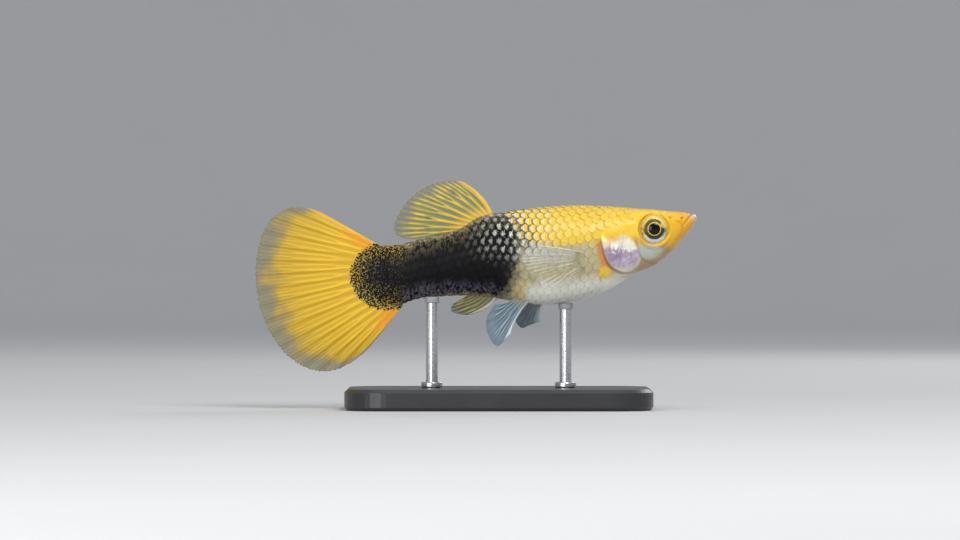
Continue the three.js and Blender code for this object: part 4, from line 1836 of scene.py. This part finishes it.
@dataclass
class Eyeball:
    """A fine eyeball with a pupil that stands slightly proud of the iris."""

    side: Side
    segments: int = 96
    rings: int = 64
    flatness: float = 0.9
    swell: float = 0.05
    groove: float = 1.12

    def build(self) -> bpy.types.Object:
        """Shape a sphere into the eye and set it in its socket.

        Returns:
            The piece.
        """
        piece = sphere(f"eyeball_{self.side.word}", self.segments, self.rings)
        across, up, out = corners_of(piece).T
        far = np.hypot(across, up) * EYE.radius
        pupil = smoothstep(far, EYE.pupil + 0.06, EYE.pupil - 0.1)
        depth = EYE.depth * np.abs(out) ** self.flatness * np.sign(out)
        depth = depth + (out > 0) * self.swell * (pupil - bump(far - self.groove, 0.12))
        x, z = EYE.x + EYE.radius * across, EYE.z + EYE.radius * up
        points = np.stack([x, self.side.value * (EYE.out + depth), z], axis=1)
        set_corners(piece, to_scene(points))
        close(piece)
        dress(piece, EyeFinish(self.side).material(), (f"eye_{self.side.word}",))
        return piece


# The fins


def crest_of(phase: Array, out: Array, forks: tuple[float, ...]) -> Array:
    """The height of the rays across a fin, each ray forking in two at every place in `forks`.

    Args:
        phase: Place across the fin, counted in rays.
        out: Place from the root, 0, to the margin, 1.
        forks: Where the rays fork.

    Returns:
        1 on a ray's crown and 0 midway between two.
    """
    crest = 0.5 - 0.5 * np.cos(2 * math.pi * phase)
    for i, fork in enumerate(forks):
        finer = 0.5 - 0.5 * np.cos(2 ** (i + 2) * math.pi * phase)
        crest = mix(crest, finer, smoothstep(out, fork - 0.12, fork + 0.12))
    return crest


def along_ray(root: Array, tip: Array, v: Array, bow: Array) -> Array:
    """Points on rays that bow to one side at their middle.

    Args:
        root: Where each ray starts, in side view.
        tip: Where it ends.
        v: How far along it the point is, from 0 to 1.
        bow: How far its middle is set aside.

    Returns:
        The points in side view.
    """
    across = np.stack([tip[:, 1] - root[:, 1], root[:, 0] - tip[:, 0]], axis=1)
    across = across / np.linalg.norm(across, axis=1, keepdims=True)
    return mix(root, tip, v[:, None]) + across * (bow * 4 * v * (1 - v))[:, None]


def set_aside(point: Array, y: Array) -> Array:
    """Give points of the side view their Y."""
    return np.stack([point[:, 0], y, point[:, 1]], axis=1)


@dataclass
class Fin:
    """A thin fin of webbed rays; each kind says where its middle surface runs."""

    node: str
    slot: Slot
    finish: FinFinish
    rays: int
    columns: int = 12
    rows: int = 70
    forks: tuple[float, ...] = (0.42, 0.75)
    web: float = 0.09
    ray_rise: float = 0.1
    fleshy: float = 0.2
    sharpness: float = 1.6
    root_share: float = 0.3
    sunk_root: float = 0.3
    flat_to: float = 0.0
    wave: float = 0.0
    pleat: float = 0.0
    notch: float = 0.0

    def middle(self, u: Array, v: Array) -> Array:
        """The middle surface at a place across, 0 to 1, and out from the root, 0 to 1."""
        raise NotImplementedError

    def margin_dip(self, u: Array) -> Array:
        """1 between the ends of two rays and 0 on a ray's end."""
        return 1 - crest_of(u * self.rays, np.ones_like(u), self.forks)

    def _half_thickness(self, u: Array, v: Array, crest: Array) -> Array:
        """Half the fin's thickness, fleshy at the root and thin at the margin.

        Args:
            u: Places across the fin, from 0 to 1.
            v: Places out from the root, from 0 to 1.
            crest: The height of the rays there, from 0 to 1.

        Returns:
            Millimetres.
        """
        grown = smoothstep(v, self.flat_to - 0.1, self.flat_to + 0.08) if self.flat_to else 1.0
        half = self.web * (1 - 0.5 * smoothstep(v, 0.7, 1)) + self.ray_rise * (1 - 0.65 * v) * crest * grown
        half = half + self.fleshy * (1 - smoothstep(v, 0, 0.22))
        sunk = mix(self.root_share, 1, smoothstep(v, 0, 0.06))
        return half * sunk * (1 - 0.45 * smoothstep(abs(2 * u - 1), 0.9, 1))

    def build(self) -> bpy.types.Object:
        """Lay a grid on the fin's middle surface and give it its thickness.

        Returns:
            The piece.
        """
        deselect()
        columns = self.rays * self.columns
        bpy.ops.mesh.primitive_grid_add(x_subdivisions=columns, y_subdivisions=self.rows, size=2.0)
        piece = bpy.context.active_object
        piece.name = f"{self.node}_rays"
        flat = corners_of(piece)
        u, v = (flat[:, 0] + 1) / 2, (flat[:, 1] + 1) / 2
        crest = crest_of(u * self.rays, v, self.forks) ** self.sharpness
        set_corners(piece, to_scene(self.middle(u, v)))
        half = self._half_thickness(u, v, crest)
        most = float(half.max())
        group = piece.vertex_groups.new(name="thickness")
        for i, share in enumerate(half / most):
            group.add([i], float(share), "REPLACE")
        for name, values in (("across", u), ("out", v), ("crest", crest)):
            set_number(piece, name, values)
        shell = piece.modifiers.new("thickness", "SOLIDIFY")
        shell.thickness = 2 * most * MM
        shell.offset = 0.0
        shell.vertex_group = group.name
        choose(piece)
        bpy.ops.object.modifier_apply(modifier=shell.name)
        piece.vertex_groups.clear()
        close(piece)
        dress(piece, self.finish.material(), (self.node,))
        return piece


@dataclass(frozen=True)
class Corner:
    """How a fan's corner is rounded."""

    power: float
    root: float
    growth: float


@dataclass
class TailFin(Fin):
    """The wide fan of the tail, pleated between its rays."""

    hub: tuple[float, float] = (-6.1, 11.55)
    heading: float = math.radians(-10.75)
    spread: float = math.radians(43.45)
    reach: float = 19.76
    upper: Corner = Corner(4, 5.9, 0.6)
    lower: Corner = Corner(3.4, 4.2, 1.65)
    edge_ray: float = 0.968
    frays: tuple[tuple[float, float, float], ...] = ((0.2, 611.0, 247.0), (0.14, 93.0, 31.0))

    def middle(self, u: Array, v: Array) -> Array:
        """The middle surface of the tail fin.

        Args:
            u: Places across the fin, from 0 to 1.
            v: Places out from the root, from 0 to 1.

        Returns:
            The points.
        """
        root = STATIONS[0]
        z = mix(root.back, root.belly, u)
        root_x = root.x - TRUNK.tongue.lean * (z - (root.back + root.belly) / 2) + self.sunk_root
        w = mix(self.edge_ray, -self.edge_ray, u)
        power, rounding, growth = (
            np.where(w > 0, getattr(self.upper, name), getattr(self.lower, name))
            for name in ("power", "root", "growth")
        )
        rounded = (1 - np.abs(w) ** power) ** (1 / rounding)
        fray = sum(depth * np.sin(u * first) * np.sin(u * second) for depth, first, second in self.frays)
        reach = (self.reach + growth * w) * rounded - self.notch * self.margin_dip(u) - np.abs(fray)
        angle = self.heading + self.spread * w
        tip_x, tip_z = self.hub[0] - reach * np.cos(angle), self.hub[1] + reach * np.sin(angle)
        wave = self.wave * v * v * np.sin(2 * math.pi * (0.9 * u + 0.1))
        pleats = self.pleat * np.sin(2 * math.pi * self.rays * u) * smoothstep(v, 0.28, 0.65)
        return np.stack([mix(root_x, tip_x, v), wave + pleats, mix(z, tip_z, v)], axis=1)


@dataclass
class DorsalFin(Fin):
    """The fin of the back, which leans far back."""

    front: float = 2.1
    rear: float = -1.9
    hub: tuple[float, float] = (2.7, 18.25)
    heading: float = math.radians(15.1)
    spread: float = math.radians(31.2)
    reach: float = 10.4
    shortening: tuple[float, float] = (3.88, 0.7)
    first_ray: float = 0.967
    last_ray: float = -0.93
    bow: float = 0.5

    def middle(self, u: Array, v: Array) -> Array:
        """The middle surface of the dorsal fin.

        Args:
            u: Places across the fin, from 0 to 1.
            v: Places out from the root, from 0 to 1.

        Returns:
            The points.
        """
        x = mix(self.front, self.rear, u)
        w = mix(self.first_ray, self.last_ray, u)
        reach = self.reach - self.shortening[0] * w - self.shortening[1] * w * w
        rounded = np.where(w < 0, (1 - w**6) ** 0.25, 1)
        reach = reach * rounded - self.notch * self.margin_dip(u)
        angle = self.heading + self.spread * w
        tip_x, tip_z = self.hub[0] - reach * np.cos(angle), self.hub[1] + reach * np.sin(angle)
        root = np.stack([x, TRUNK.value("back", x) - self.sunk_root], axis=1)
        point = along_ray(root, np.stack([tip_x, tip_z], axis=1), v, self.bow * (1 - u) ** 2)
        return set_aside(point, self.wave * v * v * np.sin(2 * math.pi * (0.7 * u + 0.1)))


@dataclass
class AnalFin(Fin):
    """The folded fin behind the vent."""

    front: float = 2.7
    rear: float = -0.6
    bow: float = -0.35
    tips: tuple[tuple[float, float], ...] = (
        (-0.3, 6.98),
        (-1.55, 6.92),
        (-2.9, 7.35),
        (-2.75, 8.05),
        (-1.8, 8.55),
    )

    def middle(self, u: Array, v: Array) -> Array:
        """The middle surface of the anal fin.

        Args:
            u: Places across the fin, from 0 to 1.
            v: Places out from the root, from 0 to 1.

        Returns:
            The points.
        """
        x = mix(self.front, self.rear, u)
        root = np.stack([x, TRUNK.value("belly", x) + self.sunk_root], axis=1)
        point = along_ray(root, catmull_rom(list(self.tips), u), v, self.bow * (1 - u))
        return set_aside(point, self.pleat * v * np.sin(2 * math.pi * self.rays * u))


@dataclass
class PelvicFin(Fin):
    """One of the two fins of the belly."""

    side: Side = Side.RIGHT
    front: float = 6.4
    rear: float = 4.4
    out: float = 0.95
    splay: float = 0.34
    bow: float = 0.35
    tips: tuple[tuple[float, float], ...] = ()

    def middle(self, u: Array, v: Array) -> Array:
        """The middle surface of the pelvic fin.

        Args:
            u: Places across the fin, from 0 to 1.
            v: Places out from the root, from 0 to 1.

        Returns:
            The points.
        """
        x = mix(self.front, self.rear, u)
        root = np.stack([x, TRUNK.underside(x, self.out) + self.sunk_root], axis=1)
        point = along_ray(root, catmull_rom(list(self.tips), u), v, self.bow * (1 - 2 * u))
        point[:, 1] = np.minimum(point[:, 1], root[:, 1])
        pleats = self.pleat * v * np.sin(2 * math.pi * self.rays * u)
        out = self.out + self.splay * (root[:, 1] - point[:, 1]) + pleats
        return set_aside(point, self.side.value * out)


@dataclass
class PectoralFin(Fin):
    """The clear fin behind the gill cover."""

    side: Side = Side.RIGHT
    x: float = 12.8
    low: float = 12.45
    high: float = 14.15
    rise: float = 0.85
    splay: float = math.radians(14)
    bow: float = 0.1
    tips: tuple[tuple[float, float], ...] = (
        (7.5, 15.0),
        (5.5, 14.35),
        (5.4, 12.9),
        (6.6, 11.2),
        (9.1, 10.1),
        (11.3, 10.9),
    )

    def middle(self, u: Array, v: Array) -> Array:
        """The middle surface of the pectoral fin.

        Args:
            u: Places across the fin, from 0 to 1.
            v: Places out from the root, from 0 to 1.

        Returns:
            The points.
        """
        x = np.full_like(u, self.x)
        root = np.stack([x, mix(self.high, self.low, u)], axis=1)
        tip = catmull_rom(list(self.tips), u)
        tip = tip + (root - tip) * (self.notch * self.margin_dip(u))[:, None]
        point = along_ray(root, tip, v, np.full_like(u, self.bow))
        out = TRUNK.flank(x, root[:, 1]) - self.sunk_root + self.rise * smoothstep(v, 0, 0.3)
        return set_aside(point, self.side.value * (out + math.tan(self.splay) * (self.x - point[:, 0])))


GOLD_FIN = FinFinish(
    "golden_tail_fin",
    ray=(0.86, 0.53, 0.03),
    web=(0.64, 0.4, 0.022),
    root=(0.82, 0.31, 0.01),
    margin=(0.25, 0.24, 0.16),
    lead=(0.85, 0.45, 0.025),
    web_alpha=0.94,
    margin_alpha=0.66,
    margin_from=0.84,
    margin_ragged=0.34,
    lead_width=0.03,
    speckled=True,
    dusk_share=0.6,
    corner_root=0.3,
)
DORSAL = FinFinish(
    "golden_dorsal_fin",
    ray=(0.8, 0.54, 0.05),
    web=(0.24, 0.25, 0.11),
    root=(0.8, 0.48, 0.04),
    margin=(0.22, 0.23, 0.18),
    lead=(0.82, 0.5, 0.04),
    web_alpha=0.88,
    margin_alpha=0.66,
    margin_from=0.82,
    margin_ragged=0.4,
    blotch=0.7,
    blotch_colour=(0.13, 0.16, 0.1),
    lead_width=0.1,
)
ANAL = FinFinish(
    "olive_anal_fin",
    ray=(0.34, 0.32, 0.15),
    web=(0.16, 0.15, 0.07),
    root=(0.3, 0.28, 0.15),
    margin=(0.2, 0.22, 0.22),
    lead=(0.85, 0.86, 0.8),
    web_alpha=0.85,
    margin_alpha=0.6,
    lead_width=0.16,
)
BLUE_FIN = FinFinish(
    "slate_pelvic_fin",
    ray=(0.3, 0.4, 0.46),
    web=(0.12, 0.17, 0.21),
    root=(0.4, 0.38, 0.26),
    margin=(0.16, 0.22, 0.27),
    lead=(0.56, 0.66, 0.7),
    web_alpha=0.8,
    margin_alpha=0.6,
    lead_width=0.2,
)
# The far pelvic fin's web is painted paler, as painted light against the shade it lies in
LIGHTENED_FAR_BLUE_FIN = replace(BLUE_FIN, name="slate_far_pelvic_fin", web=(0.3, 0.36, 0.4), web_alpha=0.66)
CLEAR_FIN = FinFinish(
    "clear_pectoral_fin",
    ray=(0.78, 0.77, 0.68),
    web=(0.6, 0.58, 0.44),
    root=(0.5, 0.42, 0.2),
    margin=(0.6, 0.62, 0.58),
    lead=(0.7, 0.68, 0.55),
    web_alpha=0.1,
    margin_alpha=0.1,
    ray_alpha=0.4,
    uneven=True,
    rays_from=0.3,
    margin_from=0.93,
    lead_width=0.04,
)


def fins() -> list[Fin]:
    """All the fins of the fish.

    Returns:
        The fins, the tail's first.
    """
    gold, clear = Slot.YELLOW_FIN, Slot.CLEAR_FIN
    tail = TailFin(
        "tail_fin",
        gold,
        GOLD_FIN,
        rays=16,
        columns=16,
        rows=90,
        fleshy=0.0,
        flat_to=0.32,
        ray_rise=0.07,
        wave=0.75,
        pleat=0.075,
        notch=0.04,
    )
    dorsal = DorsalFin(
        "dorsal_fin", gold, DORSAL, rays=9, forks=(0.55,), fleshy=0.25, sunk_root=0.35, wave=0.45, notch=0.12
    )
    anal = AnalFin("anal_fin", clear, ANAL, rays=7, forks=(0.6,), pleat=0.12)
    right = PelvicFin(
        "pelvic_fin_right",
        clear,
        BLUE_FIN,
        rays=6,
        pleat=0.07,
        tips=((4.1, 4.75), (2.45, 3.3), (1.35, 4.8), (1.25, 6.5), (2.2, 8.1)),
    )
    left = PelvicFin(
        "pelvic_fin_left",
        clear,
        LIGHTENED_FAR_BLUE_FIN,
        rays=6,
        pleat=0.07,
        side=Side.LEFT,
        front=8.1,
        rear=6.0,
        splay=0.6,
        tips=((7.55, 6.1), (6.4, 5.7), (5.35, 5.35), (4.6, 6.3), (4.4, 7.3)),
    )
    thin = {"rays": 10, "forks": (0.55,), "web": 0.03, "ray_rise": 0.035, "sharpness": 3.0, "notch": 0.03}
    pectorals = [PectoralFin(f"pectoral_fin_{s.word}", clear, CLEAR_FIN, side=s, **thin) for s in Side]
    return [tail, dorsal, anal, right, left, *pectorals]


# The stand


@dataclass(frozen=True)
class Turned:
    """A short cylinder with rounded edges at one end of a rod."""

    kind: str
    radius: float
    height: float
    rounding: float
    vertices: int
    steps: int
    finish: StandFinish
    slot: Slot

    def build(self, rod: str, x: float, bottom: float, material: bpy.types.Material) -> bpy.types.Object:
        """Turn the piece.

        Args:
            rod: The name of its rod.
            x: The rod's place along the stand.
            bottom: How high the piece's lower face is above the floor.
            material: Its finish.

        Returns:
            The piece.
        """
        deselect()
        bpy.ops.mesh.primitive_cylinder_add(
            vertices=self.vertices,
            radius=self.radius * MM,
            depth=self.height * MM,
            location=(x * MM, 0, (bottom + self.height / 2) * MM),
        )
        piece = bpy.context.active_object
        piece.name = f"{self.kind}_{rod}"
        bpy.ops.object.transform_apply(location=True, rotation=True, scale=True)
        bevel = piece.modifiers.new("bevel", "BEVEL")
        bevel.width = self.rounding * MM
        bevel.segments = self.steps
        bevel.limit_method = "ANGLE"
        bpy.ops.object.modifier_apply(modifier=bevel.name)
        smooth(piece, 40)
        dress(piece, material)
        return piece


@dataclass
class Stand:
    """The display stand: its solid base and rods in better finishes, with collars and soft pads."""

    rods: tuple[tuple[str, float], ...] = (("front", 10.5), ("rear", -5.2))
    base_top: float = 2.5
    rod_radius: float = 0.7
    pad_overlap: float = 0.12
    collar: Turned = Turned("stand_collar", 1.25, 0.7, 0.16, 64, 4, StandFinish.ROD, Slot.ROD)
    pad: Turned = Turned("stand_pad", 0.86, 0.75, 0.14, 48, 3, StandFinish.PAD, Slot.STAND)

    def _pad_bottom(self, x: float) -> float:
        """How high a pad starts, so that it reaches just into the fish's underside over its rod."""
        lowest = TRUNK.value("belly", np.array([x - self.rod_radius, x + self.rod_radius])).min()
        return TAIL_CLEARANCE + float(lowest) + self.pad_overlap - self.pad.height

    def build(self) -> None:
        """Dress the solid base and rods, and add the collars and pads."""
        materials = {finish: finish.material() for finish in StandFinish}
        solids = {"base": StandFinish.BASE} | {f"rod_{name}": StandFinish.ROD for name, _ in self.rods}
        for name, finish in solids.items():
            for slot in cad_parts[f"stand_{name}"].material_slots:
                slot.material = materials[finish]
        for name, x in self.rods:
            self.collar.build(name, x, self.base_top, materials[self.collar.finish])
            self.pad.build(name, x, self._pad_bottom(x), materials[self.pad.finish])


# The studio


@dataclass(frozen=True)
class Lamp:
    """A soft square light that looks at the fish; its sizes are metres."""

    name: str
    place: tuple[float, float, float]
    size: float
    power: float
    colour: Colour = (1, 1, 1)
    aim_height: float = 0.016

    def build(self) -> None:
        """Hang the lamp, turned to the fish and out of the camera's sight."""
        data = bpy.data.lights.new(self.name, "AREA")
        data.shape = "SQUARE"
        data.size = self.size
        data.energy = self.power
        data.color = self.colour
        lamp = add_object(self.name, data)
        x, y, z = self.place
        lamp.location = self.place
        lamp.rotation_euler = (math.atan2(math.hypot(x, y), z - self.aim_height), 0, math.atan2(x, -y))
        lamp.visible_camera = False


@dataclass
class Studio:
    """A pale round floor that curves up into a backdrop, soft lights and the camera, in metres."""

    floor_radius: float = 0.85
    bend: float = 0.4
    wall: float = 0.4
    focal: float = 200.0
    sensor: float = 36.0
    view_width: float = 0.1128
    aim: tuple[float, float] = (0.000458, 0.01634)
    air: Colour = (0.9, 0.93, 1.0)
    air_strength: float = 0.55
    lamps: tuple[Lamp, ...] = (
        Lamp("key", (0.12, -0.3, 0.3), 0.2, 0.88),
        Lamp("fill", (-0.2, -0.36, 0.03), 0.25, 1.05, (0.98, 0.99, 1.0)),
        Lamp("overhead", (0.0, 0.0, 1.1), 1.0, 1.7),
        Lamp("rim", (0.2, 0.32, 0.22), 0.2, 0.35, (1.0, 0.98, 0.94)),
    )

    def _stage(self) -> None:
        """Turn the profile of floor, bend and wall once round."""
        shape = bmesh.new()
        arc = [
            (self.floor_radius + self.bend * math.sin(a), self.bend * (1 - math.cos(a)))
            for a in np.linspace(0, math.pi / 2, 24)
        ]
        wall_top = (self.floor_radius + self.bend, self.bend + self.wall)
        profile = [(0.0, 0.0), (0.2, 0.0), (0.4, 0.0), *arc, wall_top]
        line = [shape.verts.new((r, 0, h)) for r, h in profile]
        edges = [shape.edges.new(pair) for pair in zip(line[:-1], line[1:])]
        bmesh.ops.spin(
            shape, geom=line + edges, axis=(0, 0, 1), angle=2 * math.pi, steps=96, use_duplicate=False
        )
        bmesh.ops.remove_doubles(shape, verts=shape.verts, dist=1e-5)
        mesh = bpy.data.meshes.new("stage_bowl")
        shape.to_mesh(mesh)
        shape.free()
        piece = add_object(mesh.name, mesh)
        smooth(piece)
        s = Shade("pale_backdrop")
        tint = s.blend((0.6, 0.6, 0.595), (0.63, 0.63, 0.625), s.noise(60.0, 2.0))
        piece.data.materials.append(s.finish({"Base Color": tint, "Roughness": 0.9}))

    def _camera(self) -> None:
        """Set the camera square to the fish's right side, as in the photograph."""
        data = bpy.data.cameras.new("camera")
        data.lens = self.focal
        data.sensor_width = self.sensor
        data.clip_start = 0.005
        data.clip_end = 5.0
        camera = add_object("camera", data)
        camera.location = (self.aim[0], -self.view_width * self.focal / self.sensor, self.aim[1])
        camera.rotation_euler = (math.pi / 2, 0, 0)
        bpy.context.scene.camera = camera

    def _world(self) -> None:
        """Fill the air with a dim, faintly blue light."""
        world = bpy.data.worlds.new("studio_air")
        world.use_nodes = True
        air = world.node_tree.nodes["Background"].inputs
        air["Color"].default_value = (*self.air, 1.0)
        air["Strength"].default_value = self.air_strength
        bpy.context.scene.world = world
        bpy.context.scene.view_settings.view_transform = "Standard"

    def build(self) -> None:
        """Make the camera, the stage, the lights and the air."""
        self._camera()
        self._stage()
        for lamp in self.lamps:
            lamp.build()
        self._world()


def main() -> None:
    """Build the studio and the model in order."""
    logging.basicConfig(level=logging.INFO, format="%(message)s")
    Studio().build()
    Skin().build()
    scales = BodyFinish("wet_scales", scaled=True).material()
    for side in Side:
        ScaleCoat(side, scales).build()
        Eyeball(side).build()
    for fin in fins():
        fin.build()
    Stand().build()


if __name__ == "__main__":
    main()
